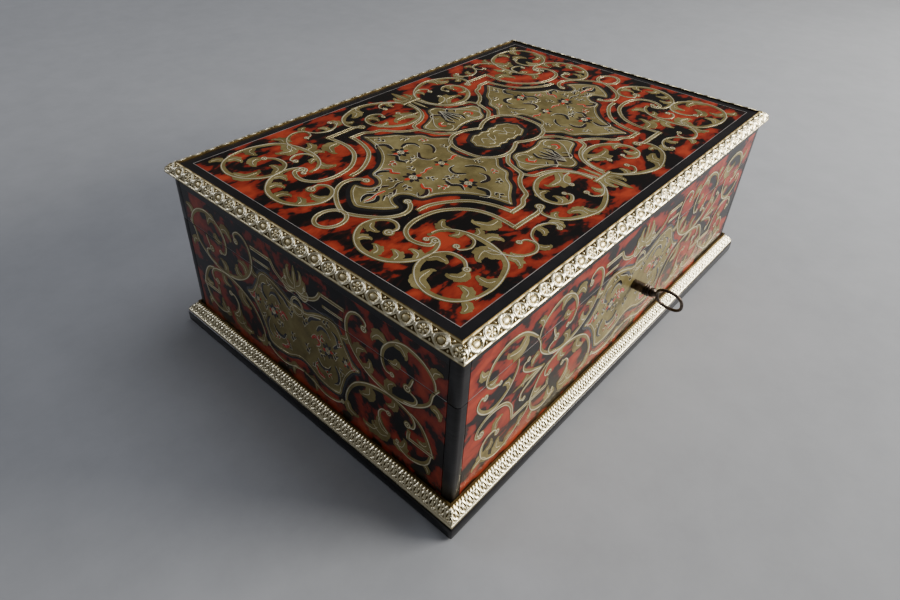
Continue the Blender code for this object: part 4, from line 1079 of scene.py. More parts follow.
    def lay(self, name: str, place: np.ndarray, body: str, keep: Point | None = None) -> None:
        """Makes the pieces of the sheet on a face.

        Args:
            name: what their names start with.
            place: the matrix from the drawing, in millimetres, to the face.
            body: the body that they move with.
            keep: the heights that they are cut off below and above.
        """
        finishes = {
            Layer.BRASS: INLAY,
            Layer.LINE: ENGRAVED_HIGHLIGHT,
            Layer.BLACK: BLACK_SHELL,
            Layer.RED: RED_SHELL,
            Layer.GROUND: BLACK_SHELL,
        }
        for layer, shapes in self.layers.items():
            shapes.moved(place).piece(f"{name}_{layer.value}", finishes[layer], body, 60, keep)


@dataclass
class TopPattern:
    """The panel on the lid: strapwork and scrolls, the same in all four quarters. Sizes in millimetres."""

    strap: float = 3.0
    scroll: float = 3.4

    def quarter(self) -> Sheet:
        """What all four quarters hold: across is the distance to the side, up is the distance to the front."""
        sheet = Sheet()
        straps = [
            # round the tip of the side field, ending in a curl
            Stroke(((127, 0.5), (124, 7), (120, 13), (115, 18.5), (108.5, 22), (102.5, 22), (98, 19),
                (96.5, 15.5)), self.strap, end_ball=2.4),
            # round the side field
            Stroke(((99.5, 25), (91, 26), (82, 30.5), (74, 37), (69.5, 44.5), (67, 53), (66.2, 61.5)),
                self.strap),
            Stroke(((67.7, 60), (62, 60), (56.5, 59.5), (52, 56.5), (46.5, 54.5), (41.5, 47.5), (35.5, 42.5),
                (30, 39.5), (27.5, 33.5), (24.5, 26.5), (18, 21.5), (14, 19)), self.strap),
            # the sides of the shield at the middle of the front
            Stroke(((30, 39.5), (27, 45.5), (18.5, 48), (11, 53), (6.5, 60.5), (4.2, 70), (4, 73)),
                self.strap * 0.9),
            # the outer strap, from its curl to its square corner
            Stroke(((113, 49.5), (117.5, 50), (120.3, 44.5), (120, 38.5), (115.5, 33), (106.5, 30.5),
                (95, 31.8), (87, 36), (80, 43), (76.5, 51), (75.8, 59.5), (77, 71)), self.strap,
                start_ball=2.6),
            Stroke(((78.4, 69.5), (66, 69.5), (56.5, 69.5), (52, 67)), self.strap, end_ball=2.8),
        ]
        scrolls = [
            # beside the panel's end
            Stroke(((123.5, 29), (118, 29.5), (115, 25), (116.5, 19.5), (121.5, 16), (129, 15.5), (137, 20.5),
                (142, 29), (142, 39), (138.5, 46.5), (130.5, 53), (120.5, 54.5), (113.5, 52), (111.5, 47.5),
                (115, 45.5)), self.scroll, Form.SCROLL, 3.0, 1.8),
            # the corner ring and the stem that leaves it
            Stroke(((120, 74.5), (115.5, 69), (115.5, 61.5), (120.5, 56.8), (127.5, 55.5), (135, 58),
                (141.5, 65), (144, 73.5), (142, 82), (137, 87.5), (130, 90.5)), self.scroll, Form.SCROLL, 2.2),
            Stroke(((134, 90), (123, 91), (113, 89), (104, 84.5), (99, 75.5), (97, 66), (97.5, 57),
                (100.5, 49.5), (105.5, 45), (111, 44)), self.scroll, Form.SCROLL, 0, 1.2),
            Stroke(((100, 70), (98.5, 80), (94, 86), (87, 88.5), (81.5, 85.5), (82, 80), (86, 78.5)), 2.0,
                Form.SCROLL, 0, 1.8),
            Stroke(((81, 86), (77.5, 80), (71, 77), (64.5, 78), (60.5, 81.5), (62, 85.5)), 1.9, Form.SCROLL, 0,
                1.8),
            Stroke(((98.5, 56), (100, 62.5), (105.5, 65), (110.5, 62.5), (109.5, 59.5)), 1.8, Form.SCROLL, 0,
                2.0),
            # the two scrolls either side of the tie
            Stroke(((6.5, 71), (7, 62), (12.5, 54), (20.5, 50.5), (30, 50.5), (39.5, 56), (44.5, 65),
                (42.5, 72.5), (36, 75.5), (30.5, 72.5), (31.5, 68.5)), self.scroll, Form.SCROLL, 0, 1.6),
            Stroke(((6.5, 74), (11, 81), (20, 87), (31, 90.5), (41, 89), (51, 84.5), (56, 78), (56.5, 71.5),
                (52, 67)), self.scroll, Form.SCROLL),
            Stroke(((7, 76), (12, 81), (18.5, 83.5), (23, 80.5), (22, 76.5)), 1.8, Form.SCROLL, 0, 1.9),
            Stroke(((9, 58), (15, 58.5), (20, 61.5), (20.5, 66)), 1.8, Form.SCROLL, 0, 1.9),
            # the heart round the shield's palmette
            Stroke(((4, 50), (11, 43), (17, 36), (18.5, 30), (15, 26), (10, 27.5), (9.5, 31.5)), 1.9,
                Form.SCROLL, 0, 1.3),
        ]
        leaves = [
            # (foot, tip, width, bend, lobes)
            ((122, 16.5), (127, 24), 3.2, -0.25, 3), ((139, 22), (133, 26.5), 3.2, 0.25, 3),
            ((142, 36), (135, 31.5), 3.4, -0.28, 3), ((139, 46), (132, 41), 3.6, -0.3, 3),
            ((131, 53), (126, 46.5), 3.4, -0.3, 3), ((127, 56), (122, 64), 4.2, 0.3, 3),
            ((121, 76), (129, 71.5), 4.4, 0.3, 4), ((143, 72), (132, 63.5), 4.6, 0.3, 4),
            ((137, 87), (131, 80.5), 3.8, -0.3, 3), ((138, 88), (143.5, 92), 3.6, 0.25, 3),
            ((116, 89.5), (121, 82), 4.2, 0.32, 3), ((99, 76), (110.5, 73.5), 5.0, -0.3, 4),
            ((98, 80), (103, 70), 3.6, 0.2, 3), ((97, 66), (90, 71.5), 4.0, 0.3, 4),
            ((97, 60), (91, 57.5), 3.4, -0.3, 3), ((101, 49), (97.5, 40.5), 3.8, 0.3, 3),
            ((98, 52), (104.5, 52), 3.2, 0.3, 2), ((76.5, 60), (87.5, 52.5), 4.6, 0.3, 4),
            ((100, 82), (101.5, 90.5), 3.2, 0.25, 3), ((82, 86), (78, 91), 3.2, -0.25, 3),
            ((93, 86.5), (96, 81.5), 2.8, 0.25, 2), ((62, 79), (59, 86), 3.2, 0.25, 3),
            ((14, 53), (30, 58.5), 4.8, 0.22, 5), ((44, 63), (36, 60.5), 3.6, 0.3, 3),
            ((42.5, 73.5), (37.5, 67), 3.8, -0.3, 3), ((40.5, 89.5), (45.5, 81), 4.8, -0.3, 4),
            ((33, 91), (37, 83.5), 4.0, 0.3, 3), ((12, 82), (15.5, 76.5), 3.2, 0.25, 3),
            ((55, 80), (50.5, 76.5), 3.0, 0.3, 2), ((70, 77.5), (72, 83.5), 3.0, 0.25, 3),
        ]
        sheet.draw(straps + scrolls, leaves)
        # inside the side field: flowers and sprigs of dark shell
        sheet.flower((59.5, 25.5), 5.6)
        sprigs = [
            # (points, width, layer)
            (((66, 15), (67.5, 20), (64.5, 24), (67, 29)), 2.0, Layer.BLACK),
            (((54, 30), (49, 31), (45.5, 27.5), (46, 22.5)), 2.4, Layer.BLACK),
            (((60, 32), (59, 38), (63, 41.5), (66, 38.5)), 2.4, Layer.BLACK),
            (((52, 18), (56, 13), (54, 8), (49, 7)), 1.9, Layer.BLACK),
            (((80, 14), (84, 17), (88.5, 16.5), (86, 13)), 2.2, Layer.BLACK),
            (((78, 8), (80.5, 12), (78.5, 15), (81, 18)), 1.6, Layer.RED),
            (((46, 12), (42, 15), (40, 20), (42, 24)), 1.5, Layer.BLACK),
            (((92, 2.5), (97, 5), (101, 3.5), (105, 6)), 1.6, Layer.BLACK),
            # inside the shield
            (((3, 44), (7.5, 47.5), (10, 44.5), (8, 41.5)), 1.8, Layer.BLACK),
            (((12.5, 31), (15, 33), (13, 36.5), (10, 36)), 1.9, Layer.RED),
            (((5, 30), (7, 35), (4.5, 39), (2.5, 41)), 1.6, Layer.BLACK),
        ]
        for sprig in sprigs:
            sheet.sprig(*sprig)
        return sheet

    def side_half(self) -> Sheet:
        """What either side of the middle holds on the panel's long axis."""
        sheet = Sheet()
        half_edge = [
            (118.5, 0), (117, 4), (114, 8.5), (109.5, 13.5), (104, 16.5), (102.5, 12), (99.5, 8), (94.5, 8),
            (91, 12), (89, 18.5), (80.5, 22), (72, 28.5), (66.5, 36), (63, 45), (61, 55), (59.5, 55),
            (53, 49.5),
            (44.5, 44), (40, 38), (33.5, 33), (31.5, 25.5), (24.5, 18.5), (28.5, 11.5), (36.5, 7),
        ]
        edge = half_edge + [(u, -v) for u, v in reversed(half_edge[1:])]
        sheet.panel(edge, Layer.BRASS, inset=1.5, halo=2.4)
        turns = np.arange(20) * math.pi / 10
        loop = tuple((135 + 8.6 * math.cos(a), 7.2 * math.sin(a)) for a in turns)
        sheet.stroke(Stroke(loop, 2.8, closed=True))
        # the tulip, the middle flower and the one by the waist
        sheet.flower((76, 0), 5.8)
        sheet.flower((52.5, 0), 4.6, 6)
        for sign in (1, -1):
            sheet.sprig(((103, sign * 0.8), (107, sign * 3.6), (111, sign * 2.6), (113.5, sign * 0.8)), 2.4)
        sheet.sprig(((97, 0.2), (102, 0.6), (108, -0.4), (112, 0.2)), 1.2, Layer.RED)
        sheet.sprig(((83, 0.2), (87, 0.8), (91, -0.6), (95, 0.2)), 1.2)
        sheet.sprig(((60, 0.2), (64, 0.8), (67, -0.6), (70, 0.2)), 1.2, Layer.RED)
        sheet.sprig(((38.5, 0.2), (41, 0.8), (44, -0.6), (47, 0.2)), 1.6, Layer.RED)
        sprays = (
            ((86, 5.5), 60, 6.5), ((69.5, 7.5), 110, 6), ((63, 14), 20, 6), ((72, 19), -30, 6.5),
            ((57, 45), 80, 6.5),
            ((59.5, 15.5), 160, 5.5), ((45, 36), 30, 5.5), ((38, 27), 60, 5.5), ((35.5, 13), 100, 5),
            ((98, 4.8), 10, 5),
        )
        for i, ((u, v), angle, size) in enumerate(sprays):
            layer = Layer.RED if i % 4 == 3 else Layer.BLACK
            sheet.flourish((u, v), angle, size, layer)
            sheet.flourish((u, -v), -angle, size, layer)
        return sheet

    def front_half(self) -> Sheet:
        """What either side of the middle holds on the panel's short axis."""
        sheet = Sheet()
        half_edge = [
            (0, 25), (6, 24.5), (12, 22.5), (17, 24), (20.5, 29), (25, 34), (24.5, 40), (17, 43), (9, 47.5),
            (3.5, 55)
        ]
        edge = half_edge + [(-u, v) for u, v in reversed(half_edge[1:])]
        sheet.panel(edge, Layer.BRASS, inset=1.3, halo=1.6)
        # the palmette, the tie and the spear below it
        for across, tip in ((0, 31), (3.6, 33), (6.4, 37)):
            for sign in (1, -1) if across else (1,):
                sheet.sprig(((0, 49), (sign * across * 0.5, 43), (sign * across, tip)), 2.0)
        sheet.panel(((-8.5, 72.2), (8.5, 72.2), (8.5, 74.8), (-8.5, 74.8)), Layer.BRASS, smooth=False)
        sheet.line(np.array([(-7.5, 73.5), (-2, 73.5), (2, 73.5), (7.5, 73.5)]), width=0.7)
        for sign in (1, -1):
            sheet.acanthus((0, 75), (sign * 5.5, 84), 3.6, sign * -0.25, 3)
        sheet.stroke(Stroke(((0, 74), (0, 82), (0, 92.5)), 5.6, Form.LEAF))
        sheet.stroke(Stroke(((0, 73), (0, 66), (0, 58)), 2.6, Form.LEAF))
        return sheet

    def middle(self) -> Sheet:
        """The cartouche in the middle."""
        sheet = Sheet()
        quarter_band = [(0, 14.2), (5, 16.6), (11.5, 19), (18.5, 19.2), (26, 16.2), (31.2, 9.5), (32.4, 0)]
        quarter_plaque = [(0, 8.8), (4, 10.2), (8, 9.2), (11, 10.4), (15, 8.6), (18.5, 6.6), (19.5, 3.4), (21.4, 0)]
        for quarter, layer, inset in ((quarter_band, None, 0), (quarter_plaque, Layer.BRASS, 1.1)):
            upper = quarter + [(u, -v) for u, v in reversed(quarter[:-1])]
            whole = upper + [(-u, -v) for u, v in upper[1:-1]]
            if layer:
                sheet.panel(whole, layer, inset, halo=2.6)
            else:
                sheet.stroke(Stroke(tuple(whole), self.strap, closed=True))
        for sign in (1, -1):
            sheet.line(smooth_line(((sign * 15, -1), (sign * 11, 3.5), (sign * 6, -2.5), (sign * 2, 1)), 0.9))
            sheet.line(smooth_line(((sign * 13, -4), (sign * 9, -5), (sign * 5, 4), (sign * 2, 5)), 0.9))
        return sheet

    def build(self, panel: str, body: str) -> None:
        """Lays the pattern on the panel.

        Args:
            panel: the CAD node of the panel.
            body: the body that it moves with.
        """
        whole = Sheet()
        parts = [
            (self.quarter(), [(1, 1), (-1, 1), (1, -1), (-1, -1)]),
            (self.side_half(), [(1, 1), (-1, 1)]),
            (self.front_half(), [(1, 1), (1, -1)]),
            (self.middle(), [(1, 1)]),
        ]
        for sheet, flips in parts:
            for layer, shapes in sheet.mirrored(flips).layers.items():
                whole.layers[layer].join(shapes)
        low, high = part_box(panel)
        place = np.diag([MM, MM, MM, 1.0])
        place[:3, 3] = (low.x + high.x) / 2, (low.y + high.y) / 2, high.z
        whole.lay("lid_top_marquetry", place, body)


@dataclass
class SidePattern:
    """The pattern that runs over case and lid on each side: across from the middle, and up from the floor."""

    scroll: float = 2.7
    strap: float = 2.4
    edge_band: float = 7.4  # ebony under the lid's moulding
    joint: float = 0.05 * MM  # how far it stops short of the opening, on either side
    end_offset: float = -8.0  # how far the scrolls move towards the middle on the short sides
    end_squeeze: float = 0.82  # how much narrower the middle field is on the short sides

    def scrolls(self) -> Sheet:
        """The scrolls beside the middle field, which all four sides have."""
        sheet = Sheet()
        strokes = [
            Stroke(((103.5, 83.5), (100, 78), (98, 71), (92, 65), (84, 60.8), (74, 59.5), (62.5, 61.5),
                (52.5, 68), (46.5, 77), (45.5, 86), (48.5, 93), (54, 95.5), (58.5, 93), (57.5, 89)),
                self.scroll, Form.SCROLL, 0, 2.2),
            Stroke(((101.5, 81), (100, 87), (93.5, 93), (84, 95.3), (75.5, 92), (70.2, 85.5), (69.3, 78.5),
                (71.5, 73.5), (75.5, 73)), self.scroll, Form.SCROLL, 0, 1.7),
            Stroke(((88.5, 79.5), (86.5, 74), (84.8, 71)), 1.9, Form.SCROLL, 0, 2.6),
            Stroke(((86, 70), (90.5, 67.5), (88.5, 63.5), (81, 60.8)), 2.0, Form.SCROLL),
            Stroke(((85.5, 47), (89, 47.5), (89.5, 52), (85.5, 55.8), (77.5, 57.4), (71, 57.5), (61, 55),
                (52, 50), (46.5, 43.5), (43, 35.5), (42.5, 29)), self.scroll, Form.SCROLL, 2.4),
            Stroke(((102.5, 38), (95, 38), (84.8, 38)), self.strap),
            Stroke(((86, 37), (86, 40), (86.5, 44)), self.strap),
            Stroke(((100.5, 38), (98.5, 31), (94, 26.5), (87, 24.5), (81, 26.5), (79, 30)), self.scroll,
                Form.SCROLL, 0, 1.4),
            Stroke(((101.5, 37), (99.5, 42.5), (96, 49.5), (92, 54), (85.5, 56.5)), self.scroll, Form.SCROLL),
            Stroke(((73, 45), (69, 44.5), (66.5, 40), (68.5, 34), (74, 29)), 2.0, Form.SCROLL, 1.9),
            # the strap that frames the upper edge
            Stroke(((44.5, 92), (34, 92), (26.8, 92)), self.strap),
            Stroke(((27.5, 92.6), (24.5, 88), (20, 84.8), (13, 82.6), (7, 84)), self.strap),
            Stroke(((43.5, 85.5), (34, 85.5), (28.5, 85.5)), 1.6),
        ]
        leaves = [
            ((76, 92.5), (84, 89), 4.0, 0.3, 3), ((72, 90), (63, 87.5), 3.8, -0.3, 4),
            ((79, 84), (74, 80), 3.6, 0.3, 3), ((99.5, 88), (104, 93), 3.4, 0.25, 3),
            ((99, 70), (104.5, 66), 3.4, 0.3, 2), ((74, 60), (76.5, 67.5), 3.8, 0.3, 3),
            ((56, 65), (61, 71), 3.8, -0.3, 3), ((52, 69), (57.5, 76), 3.8, 0.3, 3),
            ((46.5, 79), (41, 74), 3.2, 0.3, 3), ((60, 54.5), (54.5, 45), 4.6, 0.28, 4),
            ((77, 57), (72.5, 50.5), 3.4, 0.3, 3), ((98.5, 44), (92.5, 41.5), 3.2, 0.3, 3),
            ((95, 27.5), (99, 23.5), 3.0, 0.3, 2), ((74, 29), (66, 36.5), 4.4, 0.3, 4),
            ((73, 28), (62, 29), 4.0, 0.3, 4), ((76, 27), (84, 33.5), 4.0, -0.3, 4),
            ((66, 30), (56, 25), 3.8, 0.25, 3), ((43, 31), (50, 24.5), 3.8, -0.3, 3),
        ]
        sheet.draw(strokes, leaves)
        return sheet

    def outer(self) -> Sheet:
        """The rings at the ends of the long sides."""
        sheet = Sheet()
        strokes = [
            Stroke(((130.5, 73.5), (137, 75.5), (141, 81), (139.5, 87), (135.5, 92), (127.5, 95), (117.5, 94),
                (110, 89.5), (102.5, 82.5)), self.scroll, Form.SCROLL, 1.6),
            Stroke(((117.5, 79.5), (118, 72), (122.5, 64.5), (128.5, 60.5), (136, 59.5), (142.5, 63.5),
                (146, 69), (144.5, 73), (141, 72)), self.scroll, Form.SCROLL, 0, 2.0),
            Stroke(((141.5, 47.5), (145, 48.5), (144, 53), (139, 56), (132, 56.8), (124, 54.5), (119, 49),
                (117, 43), (116, 36.8)), self.strap, start_ball=2.6),
            Stroke(((117.2, 38), (110, 38), (101, 38)), self.strap),
            Stroke(((128, 38), (131, 41), (136.5, 40.5), (139.8, 36), (138.5, 29), (133.5, 24), (127, 21.5),
                (119, 23), (110, 28.5), (104, 32.5), (101, 37.5)), self.scroll, Form.SCROLL, 2.2),
            Stroke(((94, 57.8), (104, 62), (110.5, 66.5), (112, 70.5), (108.5, 72.5)), 2.2, Form.SCROLL, 0,
                1.7),
            Stroke(((94, 57.2), (104, 54.5), (110, 51.5), (111, 47), (107.5, 45)), 2.2, Form.SCROLL, 0, 1.7),
            Stroke(((92, 57.5), (104, 58), (118.5, 57.5)), 3.2, Form.LEAF),
        ]
        leaves = [
            ((112, 91.5), (126, 86.5), 4.8, -0.3, 5), ((140, 87), (146, 91), 3.4, -0.3, 3),
            ((140, 80), (133.5, 79), 3.2, 0.3, 3), ((106, 60), (110, 56), 3.0, 0.3, 2),
            ((130, 41), (126, 48), 3.4, -0.3, 3), ((137, 31), (132, 35.5), 3.4, 0.3, 3),
            ((134, 24), (145, 26), 4.2, 0.3, 4), ((122, 22.5), (126.5, 31), 4.6, -0.3, 4),
            ((114, 26), (119, 20.5), 3.4, 0.3, 3), ((105, 33), (108, 26), 3.0, 0.3, 2),
            ((123, 64.5), (127, 70), 3.0, 0.3, 2),
        ]
        sheet.draw(strokes, leaves)
        return sheet

    def middle(self) -> Sheet:
        """The brass field in the middle, with its palmette above and its flowers."""
        sheet = Sheet()
        half_edge = [
            (0, 74), (8, 73.5), (15, 76.5), (24, 79.5), (33, 80.5), (39, 77), (43, 70), (49, 62), (55.5, 58.5),
            (49, 54.5), (43, 47), (39, 38), (36, 31), (27, 29), (15, 30.5), (7, 34), (0, 35.5),
        ]
        edge = half_edge + [(-u, v) for u, v in reversed(half_edge[1:-1])]
        sheet.panel(edge, Layer.BRASS, inset=1.4, halo=1.6)
        sprays = (
            (7, 66, 80, 7), (7.5, 48, 100, 7), (21, 62, 30, 6.5), (20.5, 51.5, -30, 6.5), (27, 75, 10, 6),
            (26, 40, -10, 6), (34.5, 57, 90, 6), (13, 39, 40, 5.5), (38.5, 67, 60, 5), (38.5, 49, -60, 5),
        )
        for i, (u, v, angle, size) in enumerate(sprays):
            layer = Layer.RED if i % 3 == 2 else Layer.BLACK
            sheet.flourish((u, v), angle, size, layer)
            sheet.flourish((-u, v), 180 - angle, size, layer)
        sprigs = (
            (((18, 66), (22, 70), (27, 69.5), (30, 66)), Layer.BLACK),
            (((16, 46), (20, 42), (26, 43), (29, 47)), Layer.BLACK),
            (((33, 62), (37, 66), (36, 71), (32, 73)), Layer.BLACK),
            (((33, 50), (36, 45), (35, 39), (31, 36)), Layer.BLACK),
            (((12, 58), (16, 61), (19.5, 58), (16, 55)), Layer.RED),
            (((22, 35), (17, 36), (14, 40), (16, 43)), Layer.RED),
            (((10, 68), (13, 71.5), (18, 73.5), (23, 75.5)), Layer.BLACK),
            (((47, 61), (48, 58), (50.5, 57), (52.5, 58.5)), Layer.RED),
        )
        for sign in (1, -1):
            sheet.flower((sign * 27, 57), 5.2)
            sheet.flower((sign * 43.5, 58), 3.6, 6)
            for points, layer in sprigs:
                sheet.sprig(tuple((sign * u, v) for u, v in points), 2.1, layer)
            sheet.acanthus((0, 84), (sign * 9.5, 91), 3.8, sign * -0.3, 3)
            sheet.acanthus((0, 86), (sign * 6, 96), 3.6, sign * -0.25, 3)
            curl = ((sign * 2, 83), (sign * 8, 80.5), (sign * 12, 85), (sign * 9, 88))
            sheet.stroke(Stroke(curl, 1.9, Form.SCROLL, 0, 1.5))
            foot = ((0, 27), (sign * 10, 25.5), (sign * 20, 22.5), (sign * 31, 23.5), (sign * 38, 27))
            sheet.stroke(Stroke(foot, 2.2, Form.SCROLL, 0, 1.7))
            sheet.acanthus((sign * 6, 26.5), (sign * 12, 20), 3.4, sign * 0.3, 3)
        sheet.stroke(Stroke(((0, 83), (0, 90), (0, 99)), 4.6, Form.LEAF))
        ring = tuple((5.4 * math.cos(k * math.pi / 8), 73 + 5.4 * math.sin(k * math.pi / 8)) for k in range(16))
        sheet.stroke(Stroke(ring, 1.9, closed=True))
        return sheet

    def side(self, long: bool) -> Sheet:
        """The whole pattern of a side.

        Args:
            long: whether it is a long side, which has rings at its ends.

        Returns:
            The sheet.
        """
        result = Sheet()
        offset = 0.0 if long else self.end_offset
        for sheet in [self.scrolls(), self.outer()] if long else [self.scrolls()]:
            for layer, shapes in sheet.layers.items():
                for across in (1, -1):
                    move = np.diag([across, 1, 1.0, 1.0])
                    move[0, 3] = across * offset
                    result.layers[layer].join(shapes.moved(move))
        for layer, shapes in self.middle().layers.items():
            squeeze = np.diag([1.0 if long else self.end_squeeze, 1, 1, 1])
            result.layers[layer].join(shapes.moved(squeeze))
        return result

    def build(self) -> None:
        """Lays the pattern on the four sides, parted where the lid opens."""
        case_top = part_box("case_marquetry_front")[1].z
        lid_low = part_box("lid_marquetry_front")[0].z
        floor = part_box("base_moulding_front")[1].z
        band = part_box("lid_moulding_front")[0].z - self.edge_band * MM
        sheets = {True: self.side(True), False: self.side(False)}
        for side, (_, out) in SIDES.items():
            place = on_side(side, UP, out)
            sheet = sheets[side in LONG_SIDES]
            sheet.lay(f"case_{side}_marquetry", place, "case", (floor, case_top - self.joint))
            sheet.lay(f"lid_{side}_marquetry", place, "lid", (lid_low + self.joint, band))


# --------------------------------------------------------------- mouldings


@dataclass
class StampedMoulding:
    """A strip of brass pressed in relief, mitred at the corners. Its section is out from the face, and height."""

    node: str
    body: str
    pitch: float  # of the ornament, in millimetres
    depth: float  # of the relief, in millimetres
    grid: float = 0.34  # between the samples along it
    corner: float = 6.3 * MM  # from the end of the side's sheet to the case's corner
    back_relief: float = 0.15  # the tone of the unpressed back

    def section(self) -> tuple[np.ndarray, int]:
        """The section's points in millimetres, and how many of them, from the first, are pressed."""
        raise NotImplementedError

    def height(self, along: np.ndarray, across: np.ndarray, width: float) -> np.ndarray:
        """The relief's height.

        Args:
            along: the distance from the strip's middle, at each sample.
            across: the distance from the middle of the pressed part.
            width: of the pressed part.

        Returns:
            A height from 0 to 1 at each sample.
        """
        raise NotImplementedError

    def strip(self, half_length: float) -> Shapes:
        """One mitred strip, drawn along +X with the face at Y = 0 and the outside at -Y.

        Args:
            half_length: half its length at the face, in millimetres.

        Returns:
            The strip, in millimetres.
        """
        section, pressed = self.section()
        normal = -normals_of(section)
        step = np.linalg.norm(np.diff(section, axis=0), axis=1)
        across = np.concatenate([[0], np.cumsum(step)])
        width = across[pressed - 1]
        count = int(2 * half_length / self.grid)
        share = np.linspace(-1, 1, count)[:, None]
        along = share * (half_length + section[:, 0])
        # the relief also sets the colour in the material: a painted highlight on the heights, dirt and painted shade
        # in the hollows
        relief = self.height(along, np.broadcast_to(across - width / 2, along.shape), width)
        relief = np.clip(relief, 0, 1)
        relief[:, pressed:] = self.back_relief
        edge = np.minimum(across, np.maximum(width - across, 0)) / 0.5
        rise = (relief - 1) * self.depth * np.clip(edge, 0, 1)
        out = section[:, 0] + normal[:, 0] * rise
        up = section[:, 1] + normal[:, 1] * rise
        rings = np.stack([share * (half_length - 0.1 + out), -out, up], axis=2)
        shapes = Shapes()
        shapes.loft(rings, relief=relief)
        return shapes

    def build(self) -> None:
        """Makes the four strips in place of the plain ones."""
        for side, (_, out) in SIDES.items():
            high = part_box(f"case_marquetry_{side}")[1]
            half = (high.x if side in LONG_SIDES else high.y) + self.corner
            strip = self.strip(half / MM).moved(on_side(side, -np.array(out), UP))
            piece = strip.piece(f"{self.node}_{side}_stamped", MOULDING, self.body, 50)
            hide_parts(f"{self.node}_{side}")


def ridge(distance: np.ndarray, width: float) -> np.ndarray:
    """A rounded ridge, 1 on its crest and 0 from half its width away."""
    return np.sqrt(np.clip(1 - (2 * distance / width) ** 2, 0, 1))


@dataclass
class LidMoulding(StampedMoulding):
    """Linked medallions in a quarter-round: bosses and rosettes in turn, in a running interlace."""

    radius: float = 5.2
    overhang: float = 3.0
    lap: float = 3.0
    rebate: float = 2.8  # how deep it laps over the lid's board
    gap: float = 0.3  # between its back and the face

    def section(self) -> tuple[np.ndarray, int]:
        """Up the outside, over the quarter-round, then down the back to the rebate."""
        low, top = (corner.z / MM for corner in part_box(f"{self.node}_front"))
        centre = (self.overhang - self.radius, top - self.radius)
        angles = np.radians(np.linspace(-6, 90, 24))
        x, z, r = *centre, self.radius
        points = [(self.overhang, low)]
        points += [(x + r * math.cos(a), z + r * math.sin(a)) for a in angles[1:]]
        points.append((-self.lap, top))
        pressed = len(points)
        rebate = top - self.rebate
        points += [(-self.lap, top - 1.5), (-self.lap, rebate)]
        points += [(self.gap, rebate), (self.gap, low + 1), (self.gap, low)]
        return np.array(points), pressed

    def height(self, along: np.ndarray, across: np.ndarray, width: float) -> np.ndarray:
        """Medallions, interlace and two fillets.

        Args:
            along: the distance from the strip's middle, at each sample.
            across: the distance from the middle of the pressed part.
            width: of the pressed part.

        Returns:
            A height from 0 to 1 at each sample.
        """
        order = np.round(along / self.pitch)
        x = along - order * self.pitch
        odd = np.mod(order, 2) == 1
        r = np.hypot(x * 0.92, across)
        angle = np.arctan2(across, x)
        half = width / 2
        big = half - 1.15
        ring = ridge(np.abs(r - (big - 0.55)), 1.3)
        boss = np.where(r < big * 0.5, 0.12 + 0.42 * ridge(r, big), 0)
        petal = 0.1 + 0.6 * np.abs(np.cos(3 * angle)) * ridge(np.abs(r - big * 0.42), big * 0.56)
        rosette = np.maximum(np.where(r < big * 0.7, petal, 0), 0.6 * ridge(r, big * 0.36))
        inner = np.where(odd, rosette, np.maximum(boss, 0.6 * ridge(np.abs(r - big * 0.62), 0.5)))
        wave = half * 0.7 * np.cos(math.pi * along / self.pitch)
        bands = np.maximum(ridge(np.abs(across - wave), 1.7), ridge(np.abs(across + wave), 1.7)) * 0.85
        gap_x = np.abs(x) - self.pitch / 2
        darts = 0.8 * ridge(np.hypot(gap_x * 1.6, np.abs(across) - half * 0.55), 1.7)
        outside = np.maximum(bands, darts)
        height = np.maximum(0.1, np.maximum(ring, np.where(r > big, outside, inner)))
        fillets = np.maximum(ridge(np.abs(across - half + 0.45), 0.8), ridge(np.abs(across + half - 0.45), 0.8))
        return np.maximum(height, 0.95 * fillets)


@dataclass
class BaseMoulding(StampedMoulding):
    """Overlapping coins down the slope, a row of beads, and plain fillets at the foot and the lip."""

    def section(self) -> tuple[np.ndarray, int]:
        """Up the slope from the foot to the lip, then down the back."""
        low, top = (corner.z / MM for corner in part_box(f"{self.node}_front"))
        knots = ((6.4, low), (6.35, low + 1.5), (5.2, low + 3.2), (3.5, low + 5.0), (1.6, top - 0.9), (1.6, top))
        points = [tuple(p) for p in smooth_line(knots, 0.4)]
        pressed = len(points)
        points += [(0.9, top), (0.3, top), (0.3, top - 4), (0.3, low), (3.3, low)]
        return np.array(points), pressed

    def height(self, along: np.ndarray, across: np.ndarray, width: float) -> np.ndarray:
        """Coins, beads and fillets.

        Args:
            along: the distance from the strip's middle, at each sample.
            across: the distance from the middle of the pressed part.
            width: of the pressed part.

        Returns:
            A height from 0 to 1 at each sample.
        """
        up = across + width / 2
        order = np.round(along / self.pitch)
        x = along - order * self.pitch
        coin_middle = width * 0.5
        coin = self.pitch * 0.42  # the radius of a coin
        r = np.hypot(x, (up - coin_middle) * 0.85)
        rings = np.maximum(ridge(np.abs(r - coin), 1.1), 0.9 * ridge(r, coin))
        shifted = along - (np.floor(along / self.pitch) + 0.5) * self.pitch
        between = np.hypot(shifted, (up - coin_middle) * 0.85)
        rings = np.maximum(rings, 0.75 * ridge(np.abs(between - coin), 0.9))
        band = np.where(np.abs(up - coin_middle) < width * 0.29, rings, 0)
        bead_step = self.pitch / 2.5
        bead_x = along - np.round(along / bead_step) * bead_step
        beads = ridge(np.hypot(bead_x, up - width * 0.8), bead_step * 0.9)
        foot = np.where(up < width * 0.2, 0.95 * ridge(np.abs(up - width * 0.1), width * 0.2), 0)
        lip = 0.9 * ridge(np.abs(up - width * 0.95), width * 0.1)
        return np.maximum.reduce([np.full(along.shape, 0.12), band, beads * 0.8, foot, lip])


# ------------------------------------------------------------------ casework


